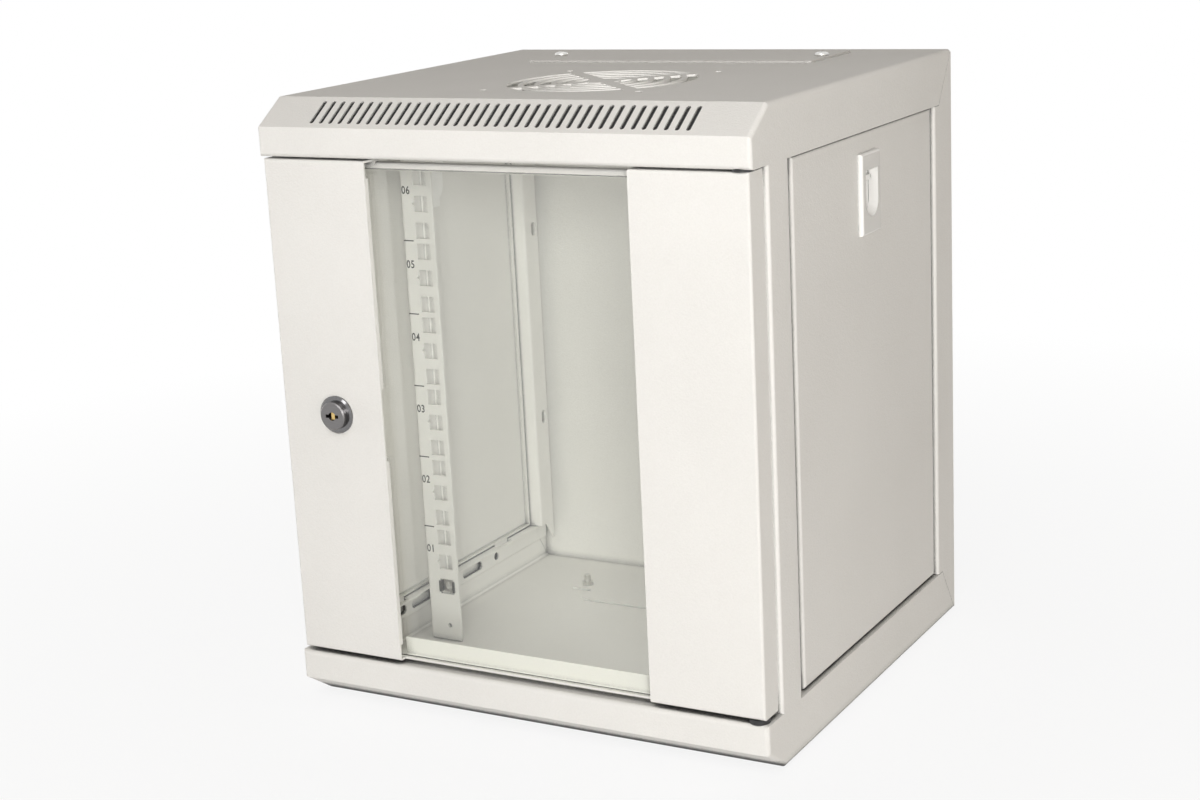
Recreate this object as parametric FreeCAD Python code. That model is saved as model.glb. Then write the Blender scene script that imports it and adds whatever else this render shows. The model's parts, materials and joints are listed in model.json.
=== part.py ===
import FreeCAD, Part
import math
import os
from FreeCAD import Vector

# A 10-inch, 6-unit wall mount network cabinet, in millimetres.
# +Z is up, the door faces -Y, +X is to the right of someone facing the door.
# The case is drawn with its front plane at y = 0 and moved by FRONT when it is written out,
# so that the origin is at the centre of the footprint, on the surface that the base stands on.

# Rack standard
UNIT = 44.45
UNITS = 6
HOLE_SPACING_X = 236.525
HOLE_SIDE = 9.5
HOLE_STEP = 15.875
HOLE_FIRST = 6.35

# Case
RACK_TO_SIDE = 29.7375      # rack hole's centre line to the outside of the case
RACK_LOW = 30.1             # lower edge of the first unit above the underside
RACK_TO_TOP = 51.2
DEPTH = 280.0
SHEET = 1.2
BEND = 0.8                  # inside radius of a fold
SEAM = 0.3                  # gap left along a mitred or butted seam

# Covers: the base is the top cover turned over
COVER_H = 30.4              # height of the skirt all round
BEVEL_Y = 21.0
BEVEL_Z = 14.0
COVER_EDGE_R = 2.5          # rounding of the cover's outer edges
FRONT_LIP = 20.0            # flange folded in behind the door
SIDE_LIP = 10.0             # flange folded in above or below each side panel
MITRE_RUN = 21.0            # depth over which the skirt slopes back to the rear corner

# Slots in the sloping front of the top cover
SLOT_COUNT = 38
SLOT_PITCH = 6.12
SLOT_W = 2.5
SLOT_FROM_CREASE = 3.5      # slot's ends to the creases above and below

# Fan grille in the top
FAN_X = 10.0
FAN_Y = 106.0
GRILLE_R = 53.0
GRILLE_HUB_R = 7.0
GRILLE_RINGS = 5
GRILLE_WEB = 3.0            # metal between two rings
GRILLE_ARM = 7.0            # metal of the diagonal arms
FAN_HOLE_PITCH = 95.0
FAN_HOLE_R = 2.15

# Cable entries, top and base, with their cover plates
ENTRY_FROM_BACK = 50.0      # centre of the entry to the back
ENTRY_W = 140.0
ENTRY_D = 36.0
BASE_PLATE_LAP_X = 10.0     # how far each plate covers the case beyond the entry
BASE_PLATE_LAP_Y = 7.0
TOP_PLATE_LAP_Y = 12.0
FIXING_FROM_ENTRY = 17.4
TOP_PLATE_EDGE = 6.1        # fixing to the end of the top plate
EAR_EDGE = 6.6              # fixing to the end of the base plate's ear
PLATE_CORNER = 4.0
EAR_D = 16.0
PLATE_STUD_R = 2.0
STUD_H = 7.0

# Front posts
POST_Y = 18.6
POST_W = 25.2               # width of the side face
POST_FLANGE = 20.0
LEDGE_STEP = 6.5            # how far the panel seat lies inside the post's side face
LEDGE_W = 14.2

# Rear posts and back panel
REAR_POST_DEPTH = 28.0
REAR_RETURN = 14.0
REAR_INNER = 16.0
OVAL_W = 5.0
OVAL_H = 9.0
OVAL_FROM_UNDERSIDE = 105.0
OVAL_FROM_TOP = 115.0
OVAL_EDGE = 5.0             # oval centre to the inner return's free edge
WALL_HOLE_X = 120.0
WALL_HOLE_Z = 250.0
WALL_HOLE_R = 3.5

# Slotted side rails that carry the mounting rails
SIDE_RAIL_LOW = 15.5
SIDE_RAIL_H = 13.4
SIDE_RAIL_STAND = 2.0       # room for a nut between the side rail and the wall
SIDE_RAIL_FRONT = 46.0
SIDE_RAIL_TO_BACK = 7.0
RAIL_SLOT_L = 23.5
RAIL_SLOT_H = 5.6
RAIL_SLOT_PITCH = 29.5
SLOTS_BEFORE_BOLT = 2       # slots in front of the one that the rail is bolted through
SLOTS_AFTER_BOLT = 1
SIDE_RAIL_HOLE_R = 2.6

# Mounting rails
RAIL_Y = 111.0              # rail's face behind the case's front
RAIL_SHEET = 1.5
RAIL_IN = 8.1               # hole centre to the inner edge
RAIL_OUT = 14.4             # hole centre to the outer edge
RAIL_SIDE = 22.0            # depth of the rail's side
RAIL_SIDE_LAP = 7.0         # width of the fold behind it, which carries the brackets
RAIL_END_GAP = 0.8
RAIL_PIN_HOLE_R = 1.6
RAIL_PIN_HOLE_Z = 9.2       # above the rail's own end
NOTCH = 1.6
BOLT_FROM_FACE = 38.25      # bolt behind the rail's face
FOOT_END = 10.75            # bolt to the rear end of the bracket
FOOT_H = 10.0
FOOT_GAP = 0.1
BOLT_R = 2.5
BOLT_HEAD_R = 4.6
BOLT_HEAD_H = 2.6
BOLT_PLAY = 0.1
RAIL_NUT_T = 1.8
RAIL_NUT_SIDE = 8.0

# Cage nut
CAGE_WALL = 0.6
CAGE_W = 7.0
CAGE_NUT_H = 4.4
CAGE_THREAD_R = 2.5
CAGE_HOOK = 0.9

# Side panels
PANEL_INSET = 2.0           # panel face inside the case's side
PANEL_FRONT_GAP = 8.0
PANEL_REAR_GAP = 1.5
PANEL_BOTTOM_GAP = 1.0
PANEL_TOP_GAP = 0.6
PANEL_RETURN = 3.9
PANEL_EDGE_R = 1.8
TAB_W = 16.0
TAB_DROP = 3.8
TAB_FROM_END = 38.0
TAB_SLOT_W = 5.4
TAB_CLEAR = 1.0

# Panel latch
LATCH_DROP = 33.6           # centre of the latch below the panel's top
LATCH_W = 26.5
LATCH_H = 44.5
LATCH_PROUD = 3.0
LATCH_EDGE_R = 1.5
LATCH_WINDOW_W = 17.5
LATCH_WINDOW_H = 26.0
LATCH_BOX_W = 24.0
LATCH_BOX_H = 38.0
LATCH_BOX_DEPTH = 5.4       # slider's guide behind the panel's sheet
FINGER_DEPTH = 9.6          # finger recess behind the panel's sheet
FINGER_CLEAR = 0.15
LATCH_WALL = 1.6
SLIDER_T = 1.8
SLIDER_PLAY = 0.3
TONGUE_W = 12.0
TONGUE_END_GAP = 0.7
GRIP_H = 3.0
LATCH_TRAVEL = 3.0

# Door
DOOR_SETBACK = 0.9
DOOR_DEPTH = 16.0
DOOR_SIDE_GAP = 2.0
DOOR_BOTTOM_GAP = 2.6
DOOR_TOP_GAP = 1.2
DOOR_EDGE_R = 1.6
WINDOW_W = 159.0
HEM = 3.1                   # depth of the fold along the window's edge
HEM_END = 9.4               # hem's ends to the door's ends
BOTTOM_RAIL_H = 11.6
TOP_RAIL_H = 3.6
TOP_RAIL_DROP = 2.0
TOP_RAIL_END = 16.0         # length of the top rail's ends behind the columns

# Glass and what holds it
GLASS_T = 4.0
GLASS_LAP = 16.5            # glass behind each column
GLASS_SETBACK = 4.5         # glass face behind the door's face
GLASS_CLEAR = 0.4
GLASS_RAIL_GAP = 1.6        # glass to the door rails behind it
GLASS_TOP_DROP = 2.6        # glass's top edge below the top rail's
GASKET_W = 10.0
GASKET_EDGE = 1.5           # gasket's inner edge behind the glass's window edge
RETAINER_FOOT = 9.0
RETAINER_LAP = 12.0
NUT_R = 2.75
NUT_H = 2.4
NUT_FROM_END = 40.0         # retainer's nuts from the door's ends
NUT_FROM_LOCK = 20.0        # and from the space left round the lock

# Lock
LOCK_FROM_WINDOW = 30.5     # lock's axis to the window's edge
LOCK_CLEAR_LOW = 24.8       # height left free of glass fittings and hem below the lock
LOCK_CLEAR_HIGH = 16.2      # and above it
BEZEL_R = 10.7
BEZEL_T = 2.0
BARREL_R = 9.0
PLUG_HEAD_R = 8.0
PLUG_HEAD_T = 3.0
PLUG_R = 6.0
RUNNING = 0.06              # radial clearance of a running fit
LOCK_NUT_T = 4.0
LOCK_NUT_R = 12.5
KEYWAY_W = 8.4
KEYWAY_H = 1.9
KEYHOLE_R = 2.4             # round middle of the keyway
KEYWAY_DEPTH = 6.0
WAFER_W = 2.2
WAFER_H = 4.0
WAFER_BACK = 1.2            # wafer behind the plug's face
CAM_L = 30.0
CAM_W = 12.0
CAM_T = 2.0
CAM_GAP = 0.7               # between the cam and the post's flange
CAM_SCREW_R = 3.2

# Hinge
HINGE_FROM_SIDE = 5.5       # axis to the door's outer edge
HINGE_FROM_FACE = 5.1       # axis to the door's face
PIN_R = 2.5
PIN_FLANGE_R = 3.6
PIN_FLANGE_T = 1.4
PIN_REACH = 9.0
BUSH_R = 5.6
BUSH_GAP = 0.2
HINGE_PLATE_T = 3.0
HINGE_PLATE_W = 15.0
HINGE_PLATE_D = 13.0
PIN_TAIL = 14.0

# Derived
WIDTH = HOLE_SPACING_X + 2 * RACK_TO_SIDE
HEIGHT = RACK_LOW + UNITS * UNIT + RACK_TO_TOP
SIDE = WIDTH / 2
INNER_SIDE = SIDE - SHEET
MITRE_Y = DEPTH - MITRE_RUN
REAR_POST_Y = DEPTH - REAR_POST_DEPTH
ENTRY_Y = DEPTH - ENTRY_FROM_BACK
PLATE_FIXING_X = ENTRY_W / 2 + FIXING_FROM_ENTRY
TOP_PLATE_W = 2 * (PLATE_FIXING_X + TOP_PLATE_EDGE)
TOP_PLATE_D = ENTRY_D + 2 * TOP_PLATE_LAP_Y
BASE_PLATE_W = ENTRY_W + 2 * BASE_PLATE_LAP_X
BASE_PLATE_D = ENTRY_D + 2 * BASE_PLATE_LAP_Y
LOCK_PROUD = BEZEL_T + PLUG_HEAD_T - DOOR_SETBACK
FRONT = -(DEPTH - LOCK_PROUD) / 2
TOP_EDGE = HEIGHT - COVER_H                  # lower edge of the top cover's skirt
BACK = DEPTH - SHEET                         # inner face of the back panel
POST_REAR = POST_Y + POST_W
HOLE_X = HOLE_SPACING_X / 2
RAIL_LOW = SHEET + RAIL_END_GAP
RAIL_HIGH = HEIGHT - RAIL_LOW
PANEL_X = SIDE - PANEL_INSET
PANEL_FRONT = POST_REAR + PANEL_FRONT_GAP
PANEL_REAR = REAR_POST_Y - PANEL_REAR_GAP
PANEL_LOW = COVER_H + PANEL_BOTTOM_GAP
PANEL_HIGH = TOP_EDGE - PANEL_TOP_GAP
LATCH_Y = (PANEL_FRONT + PANEL_REAR) / 2
LATCH_Z = PANEL_HIGH - LATCH_DROP
DOOR_X = SIDE - DOOR_SIDE_GAP
DOOR_REAR = DOOR_SETBACK + DOOR_DEPTH
DOOR_LOW = COVER_H + DOOR_BOTTOM_GAP
DOOR_HIGH = TOP_EDGE - DOOR_TOP_GAP
LOCK_X = -WINDOW_W / 2 - LOCK_FROM_WINDOW
LOCK_Z = (DOOR_LOW + DOOR_HIGH) / 2
COLUMN_BACK = DOOR_SETBACK + SHEET           # rear face of the columns' front sheet
GLASS_W = WINDOW_W + 2 * GLASS_LAP
GLASS_Y = DOOR_SETBACK + GLASS_SETBACK
DOOR_RAIL_Y = GLASS_Y + GLASS_T + GLASS_RAIL_GAP
TOP_RAIL_HIGH = DOOR_HIGH - TOP_RAIL_DROP
GLASS_LOW = DOOR_LOW + SHEET + GLASS_CLEAR
GLASS_HIGH = TOP_RAIL_HIGH - GLASS_TOP_DROP
GASKET_IN = WINDOW_W / 2 + SHEET + GASKET_EDGE
HINGE_X = DOOR_X - HINGE_FROM_SIDE
HINGE_Y = DOOR_SETBACK + HINGE_FROM_FACE
SIDE_RAIL_REAR = DEPTH - SIDE_RAIL_TO_BACK
FOOT_LOW = SIDE_RAIL_LOW + (SIDE_RAIL_H - FOOT_H) / 2
FOOT_Y = RAIL_Y + RAIL_SIDE                  # front of the bracket, behind the rail's side
SIDE_RAIL_X = INNER_SIDE - SIDE_RAIL_STAND - SHEET
FOOT_X = SIDE_RAIL_X - FOOT_GAP              # outer face of the foot
RAIL_SLOT_Z = SIDE_RAIL_LOW + SIDE_RAIL_H / 2
BOLT_Y = RAIL_Y + BOLT_FROM_FACE
LOCK_GAP_LOW = LOCK_Z - LOCK_CLEAR_LOW
LOCK_GAP_HIGH = LOCK_Z + LOCK_CLEAR_HIGH

X_AXIS = Vector(1, 0, 0)
Y_AXIS = Vector(0, 1, 0)
Z_AXIS = Vector(0, 0, 1)


# ---- Helpers

def box(x0, x1, y0, y1, z0, z1):
    return Part.makeBox(x1 - x0, y1 - y0, z1 - z0, Vector(x0, y0, z0))


def rod(radius, start, end):
    run = end - start
    return Part.makeCylinder(radius, run.Length, start, run)


def prism(points, run):
    """Solid made by carrying the polygon through points along run."""
    return Part.Face(Part.makePolygon(points + points[:1])).extrude(run)


def fuse(shapes):
    return shapes[0].multiFuse(shapes[1:]).removeSplitter()


def cut(shape, tools):
    return shape.cut(Part.makeCompound(tools))


def group(shapes):
    return Part.makeCompound(shapes)


def mirrored_x(shape):
    return shape.mirror(Vector(0, 0, 0), X_AXIS)


def mirrored_z(shape):
    return shape.mirror(Vector(0, 0, HEIGHT / 2), Z_AXIS)


def fillet_where(shape, radius, keep):
    """Round each edge whose middle and direction satisfy keep(middle, direction)."""
    edges = []
    for edge in shape.Edges:
        first, last = edge.firstVertex().Point, edge.lastVertex().Point
        run = last - first
        if run.Length > 0 and keep((first + last) * 0.5, run.normalize()):
            edges.append(edge)
    return shape.makeFillet(radius, edges)


def arc_path(points, radii):
    """Straight runs through points, joined by tangent arcs of the given radii."""
    edges = []
    start = points[0]
    for before, corner, after, radius in zip(points, points[1:], points[2:], radii):
        into = (corner - before).normalize()
        out = (after - corner).normalize()
        half_turn = into.getAngle(out) / 2
        reach = radius * math.tan(half_turn)
        first = corner - into * reach
        last = corner + out * reach
        centre = corner + (out - into).normalize() * (radius / math.cos(half_turn))
        middle = centre + (corner - centre).normalize() * radius
        edges.append(Part.LineSegment(start, first).toShape())
        edges.append(Part.Arc(first, middle, last).toShape())
        start = last
    edges.append(Part.LineSegment(start, points[-1]).toShape())
    return edges


def folded(points, axis, length, sheet=SHEET, bend=BEND):
    """Folded sheet: points follow one face, the metal lies to their left about axis."""
    runs = [(b - a).normalize() for a, b in zip(points, points[1:])]
    lefts = [axis.cross(run) for run in runs]
    other = [points[0] + lefts[0] * sheet]
    near, far = [], []
    for corner, run_in, run_out, left_in, left_out in zip(
            points[1:-1], runs, runs[1:], lefts, lefts[1:]):
        bisector = (left_in + left_out).normalize()
        other.append(corner + bisector * (sheet / bisector.dot(left_in)))
        turns_left = run_in.cross(run_out).dot(axis) > 0
        near.append(bend + sheet if turns_left else bend)
        far.append(bend if turns_left else bend + sheet)
    other.append(points[-1] + lefts[-1] * sheet)
    edges = arc_path(points, near)
    edges += arc_path(other, far)
    edges.append(Part.LineSegment(points[0], other[0]).toShape())
    edges.append(Part.LineSegment(points[-1], other[-1]).toShape())
    outline = Part.Wire(Part.__sortEdges__(edges))
    return Part.Face(outline).extrude(axis * length)


def slot_cutter(centre, along, through, length, width, depth):
    """Round-ended slot: length along one direction, cut through another."""
    half = (length - width) / 2
    across = through.cross(along).normalize()
    a = centre - along * half - through * (depth / 2)
    b = centre + along * half - through * (depth / 2)
    side = across * (width / 2)
    outline = Part.Wire([
        Part.LineSegment(a + side, b + side).toShape(),
        Part.Arc(b + side, b + along * (width / 2), b - side).toShape(),
        Part.LineSegment(b - side, a - side).toShape(),
        Part.Arc(a - side, a - along * (width / 2), a + side).toShape()])
    return Part.Face(outline).extrude(through * depth)


def clipped_slot(centre, along, through, length, width, depth):
    """Slot with clipped corners: length along one direction, cut through another."""
    across = through.cross(along).normalize()
    half_w, half_l = width / 2, length / 2
    corner = half_w * 0.6
    outline = [(-half_w, corner - half_l), (corner - half_w, -half_l), (half_w - corner, -half_l),
               (half_w, corner - half_l), (half_w, half_l - corner), (half_w - corner, half_l),
               (corner - half_w, half_l), (-half_w, half_l - corner)]
    start = centre - through * (depth / 2)
    return prism([start + across * side + along * run for side, run in outline], through * depth)


def hexagon(radius, start, end):
    """Hexagonal prism along Y with the given corner radius."""
    corners = [Vector(radius * math.cos(math.radians(60 * i)), 0,
                      radius * math.sin(math.radians(60 * i))) for i in range(6)]
    return prism([start + corner for corner in corners], end - start)


# ---- Covers

def cover_outline(inset, low, rear):
    """Side outline of the top cover: skirt, sloping front and flat top, inset all round."""
    slope = math.atan2(BEVEL_Z, BEVEL_Y)
    shift = inset * math.tan(slope / 2)
    knee = inset * math.tan((math.pi / 2 - slope) / 2)
    return [Vector(0, inset, low),
            Vector(0, inset, HEIGHT - BEVEL_Z - knee),
            Vector(0, BEVEL_Y + shift, HEIGHT - inset),
            Vector(0, rear, HEIGHT - inset),
            Vector(0, rear, low)]


def cover_body():
    """Folded tray shared by the top cover and the base, in the top cover's place."""
    half = Vector(SIDE, 0, 0)
    outer = prism([p - half for p in cover_outline(0, TOP_EDGE, DEPTH)], half * 2)

    def outer_edge(middle, direction):
        along_side = abs(abs(middle.x) - SIDE) < 0.01 and middle.y < DEPTH - 0.01
        along_front = abs(direction.x) > 0.9 and middle.y < 1 and middle.z < TOP_EDGE + 0.01
        return (along_side and middle.z > TOP_EDGE + 0.01) or along_front

    outer = fillet_where(outer, COVER_EDGE_R, outer_edge)
    half = Vector(INNER_SIDE, 0, 0)
    inner = prism([p - half for p in cover_outline(SHEET, TOP_EDGE + SHEET, DEPTH + 1)], half * 2)
    inner = fillet_where(inner, COVER_EDGE_R - SHEET, lambda middle, direction: (
        abs(abs(middle.x) - INNER_SIDE) < 0.01 and middle.y < DEPTH
        and middle.z > TOP_EDGE + SHEET + 0.01))
    lip_in = INNER_SIDE - SIDE_LIP
    mouth = box(-lip_in, lip_in, FRONT_LIP, DEPTH + 1, TOP_EDGE - 1, TOP_EDGE + SHEET + 1)
    mitre = prism([Vector(-SIDE - 1, MITRE_Y, TOP_EDGE - 1),
                   Vector(-SIDE - 1, MITRE_Y, TOP_EDGE),
                   Vector(-SIDE - 1, BACK, HEIGHT - SHEET),
                   Vector(-SIDE - 1, DEPTH + 1, HEIGHT - SHEET),
                   Vector(-SIDE - 1, DEPTH + 1, TOP_EDGE - 1)], Vector(WIDTH + 2, 0, 0))
    hinge_hole = rod(PIN_R + RUNNING, Vector(HINGE_X, HINGE_Y, TOP_EDGE - 1),
                     Vector(HINGE_X, HINGE_Y, TOP_EDGE + SHEET + 1))
    return cut(outer, [inner, mouth, mitre, hinge_hole])


def entry_cutter(z):
    return box(-ENTRY_W / 2, ENTRY_W / 2, ENTRY_Y - ENTRY_D / 2, ENTRY_Y + ENTRY_D / 2,
               z - SHEET, z + SHEET)


def fixing_points(z):
    return [Vector(x, ENTRY_Y, z) for x in (-PLATE_FIXING_X, PLATE_FIXING_X)]


def tongue_slots():
    """Slots in the top cover's side lips for the panel latches' tongues."""
    x_in = tongue_x() - TAB_CLEAR
    x_out = tongue_x() + SLIDER_T + TAB_CLEAR
    half = TONGUE_W / 2 + TAB_CLEAR
    slot = box(x_in, x_out, LATCH_Y - half, LATCH_Y + half, TOP_EDGE - 1, TOP_EDGE + SHEET + 1)
    return [slot, mirrored_x(slot)]


def vent_slots():
    along = Vector(0, BEVEL_Y, BEVEL_Z)
    length = along.Length - 2 * SLOT_FROM_CREASE
    along.normalize()
    middle = Vector(0, BEVEL_Y / 2, HEIGHT - BEVEL_Z / 2)
    slot = clipped_slot(middle, along, X_AXIS.cross(along), length, SLOT_W, 4 * SHEET)
    first = -(SLOT_COUNT - 1) / 2 * SLOT_PITCH
    return [slot.translated(X_AXIS * (first + i * SLOT_PITCH)) for i in range(SLOT_COUNT)]


def fan_grille():
    """Arc slots in rings, interrupted by two diagonal arms."""
    centre = Vector(FAN_X, FAN_Y, HEIGHT - 2 * SHEET)
    depth = Z_AXIS * (4 * SHEET)
    pitch = (GRILLE_R - GRILLE_HUB_R) / GRILLE_RINGS
    rings = []
    for i in range(GRILLE_RINGS):
        outer = GRILLE_R - i * pitch
        ring = rod(outer, centre, centre + depth)
        rings.append(ring.cut(rod(outer - pitch + GRILLE_WEB, centre, centre + depth)))
    arm = box(-GRILLE_R - 1, GRILLE_R + 1, -GRILLE_ARM / 2, GRILLE_ARM / 2, 0, 4 * SHEET)
    arms = []
    for angle in (45, 135):
        turned = arm.copy()
        turned.rotate(Vector(0, 0, 0), Z_AXIS, angle)
        turned.translate(centre)
        arms.append(turned)
    return [cut(ring, arms) for ring in rings]


def fan_holes():
    half = FAN_HOLE_PITCH / 2
    return [rod(FAN_HOLE_R, Vector(FAN_X + i * half, FAN_Y + j * half, HEIGHT - 2 * SHEET),
                Vector(FAN_X + i * half, FAN_Y + j * half, HEIGHT + SHEET))
            for i in (-1, 1) for j in (-1, 1)]


def top_cover():
    holes = [rod(PLATE_STUD_R, p, p + Z_AXIS * 3 * SHEET) for p in fixing_points(HEIGHT - 2 * SHEET)]
    return cut(cover_body(), vent_slots() + fan_grille() + fan_holes() + tongue_slots()
               + [entry_cutter(HEIGHT)] + holes)


def tab_slots():
    """Slots in the base's side lips that take the side panels' tabs."""
    outer = PANEL_X - PANEL_RETURN + SHEET + TAB_CLEAR
    half = TAB_W / 2 + TAB_CLEAR
    slots = []
    for y in tab_places():
        slots.append(box(outer - TAB_SLOT_W, outer, y - half, y + half,
                         COVER_H - 2 * SHEET, COVER_H + SHEET))
    return slots + [mirrored_x(slot) for slot in slots]


def base_cover():
    body = mirrored_z(cover_body())
    holes = [rod(PLATE_STUD_R, p, p + Z_AXIS * 3 * SHEET) for p in fixing_points(-SHEET)]
    return cut(body, [entry_cutter(0)] + tab_slots() + holes)


# ---- Frame

def front_post_right():
    points = [Vector(SIDE - POST_FLANGE, POST_Y, COVER_H),
              Vector(SIDE, POST_Y, COVER_H),
              Vector(SIDE, POST_REAR, COVER_H),
              Vector(SIDE - LEDGE_STEP, POST_REAR, COVER_H),
              Vector(SIDE - LEDGE_STEP, POST_REAR + LEDGE_W, COVER_H)]
    return folded(points, Z_AXIS, TOP_EDGE - COVER_H)


def beyond_mitre(seam):
    """Everything that the top cover's rear corner takes away from a post behind it."""
    x = SIDE + 1
    low = TOP_EDGE - seam
    rear_low = HEIGHT - SHEET - seam
    return prism([Vector(x, REAR_POST_Y - 1, low), Vector(x, MITRE_Y + seam, low),
                  Vector(x, BACK, rear_low), Vector(x, BACK, HEIGHT + 1),
                  Vector(x, REAR_POST_Y - 1, HEIGHT + 1)], Vector(-REAR_RETURN * 2, 0, 0))


def rear_post_right():
    inner_x = SIDE - REAR_RETURN
    points = [Vector(inner_x, REAR_POST_Y + REAR_INNER, SHEET),
              Vector(inner_x, REAR_POST_Y, SHEET),
              Vector(SIDE, REAR_POST_Y, SHEET),
              Vector(SIDE, BACK, SHEET)]
    post = folded(points, Z_AXIS, HEIGHT - 2 * SHEET)
    corner = beyond_mitre(SEAM)
    ovals = [slot_cutter(Vector(inner_x, REAR_POST_Y + REAR_INNER - OVAL_EDGE, z), Z_AXIS, X_AXIS,
                         OVAL_H, OVAL_W, 4 * SHEET)
             for z in (OVAL_FROM_UNDERSIDE, HEIGHT - OVAL_FROM_TOP)]
    return cut(post, [corner, mirrored_z(corner)] + ovals)


def wall_holes():
    places = [(x, HEIGHT / 2 + z) for x in (-WALL_HOLE_X / 2, WALL_HOLE_X / 2)
              for z in (-WALL_HOLE_Z / 2, WALL_HOLE_Z / 2)]
    return [rod(WALL_HOLE_R, Vector(x, BACK - 1, z), Vector(x, DEPTH + 1, z)) for x, z in places]


def back_panel():
    sheet = box(-SIDE, SIDE, BACK, DEPTH, SHEET, HEIGHT - SHEET)
    return cut(sheet, wall_holes())


def lower_side_rail_right():
    """Slotted channel on the base's side wall; the mounting rail's foot bolts to it."""
    high = SIDE_RAIL_LOW + SIDE_RAIL_H
    y = SIDE_RAIL_REAR
    points = [Vector(INNER_SIDE, y, high), Vector(SIDE_RAIL_X, y, high),
              Vector(SIDE_RAIL_X, y, SIDE_RAIL_LOW), Vector(INNER_SIDE, y, SIDE_RAIL_LOW)]
    channel = folded(points, Y_AXIS * -1, SIDE_RAIL_REAR - SIDE_RAIL_FRONT)
    web = SIDE_RAIL_X + SHEET / 2
    slots = [clipped_slot(Vector(web, BOLT_Y + i * RAIL_SLOT_PITCH, RAIL_SLOT_Z),
                          Y_AXIS, X_AXIS, RAIL_SLOT_L, RAIL_SLOT_H, 2 * SHEET)
             for i in range(-SLOTS_BEFORE_BOLT, SLOTS_AFTER_BOLT + 1)]
    hole_y = BOLT_Y + (SLOTS_AFTER_BOLT + 1) * RAIL_SLOT_PITCH
    hole = rod(SIDE_RAIL_HOLE_R, Vector(web - SHEET, hole_y, RAIL_SLOT_Z),
               Vector(web + SHEET, hole_y, RAIL_SLOT_Z))
    return cut(channel, slots + [hole])


# ---- Mounting rails

def rail_hole_heights():
    return [RACK_LOW + unit * UNIT + HOLE_FIRST + step * HOLE_STEP
            for unit in range(UNITS) for step in range(3)]


def rail_bracket_lower():
    """Angle behind the mounting rail's side, bolted to the lower side rail."""
    points = [Vector(HOLE_X + RAIL_OUT - RAIL_SIDE_LAP, FOOT_Y, FOOT_LOW),
              Vector(FOOT_X, FOOT_Y, FOOT_LOW),
              Vector(FOOT_X, BOLT_Y + FOOT_END, FOOT_LOW)]
    bracket = folded(points, Z_AXIS, FOOT_H, RAIL_SHEET)
    hole = rod(BOLT_R + BOLT_PLAY, Vector(FOOT_X - 2 * RAIL_SHEET, BOLT_Y, RAIL_SLOT_Z),
               Vector(FOOT_X + RAIL_SHEET, BOLT_Y, RAIL_SLOT_Z))
    return bracket.cut(hole)


def rail_brackets_right():
    bracket = rail_bracket_lower()
    return group([bracket, mirrored_z(bracket)])


def mounting_rail_right():
    inner_x = HOLE_X - RAIL_IN
    outer_x = HOLE_X + RAIL_OUT
    points = [Vector(inner_x, RAIL_Y, RAIL_LOW), Vector(outer_x, RAIL_Y, RAIL_LOW),
              Vector(outer_x, RAIL_Y + RAIL_SIDE, RAIL_LOW),
              Vector(outer_x - RAIL_SIDE_LAP, RAIL_Y + RAIL_SIDE, RAIL_LOW)]
    angle = folded(points, Z_AXIS, RAIL_HIGH - RAIL_LOW, RAIL_SHEET)
    half = HOLE_SIDE / 2
    front, rear = RAIL_Y - 1, RAIL_Y + 2 * RAIL_SHEET
    cutters = []
    for i, z in enumerate(rail_hole_heights()):
        cutters.append(box(HOLE_X - half, HOLE_X + half, front, rear, z - half, z + half))
        if i % 3 == 1:
            tip = HOLE_X + half
            cutters.append(prism([Vector(tip, front, z - NOTCH), Vector(tip + NOTCH, front, z),
                                  Vector(tip, front, z + NOTCH), Vector(tip - NOTCH, front, z)],
                                 Vector(0, rear - front, 0)))
    for z in (RAIL_LOW + RAIL_PIN_HOLE_Z, RAIL_HIGH - RAIL_PIN_HOLE_Z):
        cutters.append(rod(RAIL_PIN_HOLE_R, Vector(HOLE_X, front, z), Vector(HOLE_X, rear, z)))
    return cut(angle, cutters)


def rail_bolt():
    """Pan-head screw through a rail's foot and its slot."""
    inner = Vector(FOOT_X - RAIL_SHEET, BOLT_Y, RAIL_SLOT_Z)
    head = rod(BOLT_HEAD_R, inner - X_AXIS * BOLT_HEAD_H, inner)
    shank = rod(BOLT_R, inner, inner + X_AXIS * (RAIL_SHEET + FOOT_GAP + SHEET + RAIL_NUT_T))
    return fuse([head, shank])


def rail_bolts_right():
    bolt = rail_bolt()
    return group([bolt, mirrored_z(bolt)])


def rail_nuts_right():
    """Thin square nuts that run between the side rail and the cover's wall."""
    inner = Vector(FOOT_X + FOOT_GAP + SHEET, BOLT_Y, RAIL_SLOT_Z)
    half = RAIL_NUT_SIDE / 2
    nut = box(inner.x, inner.x + RAIL_NUT_T, BOLT_Y - half, BOLT_Y + half,
              RAIL_SLOT_Z - half, RAIL_SLOT_Z + half)
    nut = nut.cut(rod(BOLT_R, inner - X_AXIS, inner + X_AXIS * (RAIL_NUT_T + 1)))
    return group([nut, mirrored_z(nut)])


def cage_nut_centre():
    return Vector(-HOLE_X, RAIL_Y, rail_hole_heights()[0])


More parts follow.
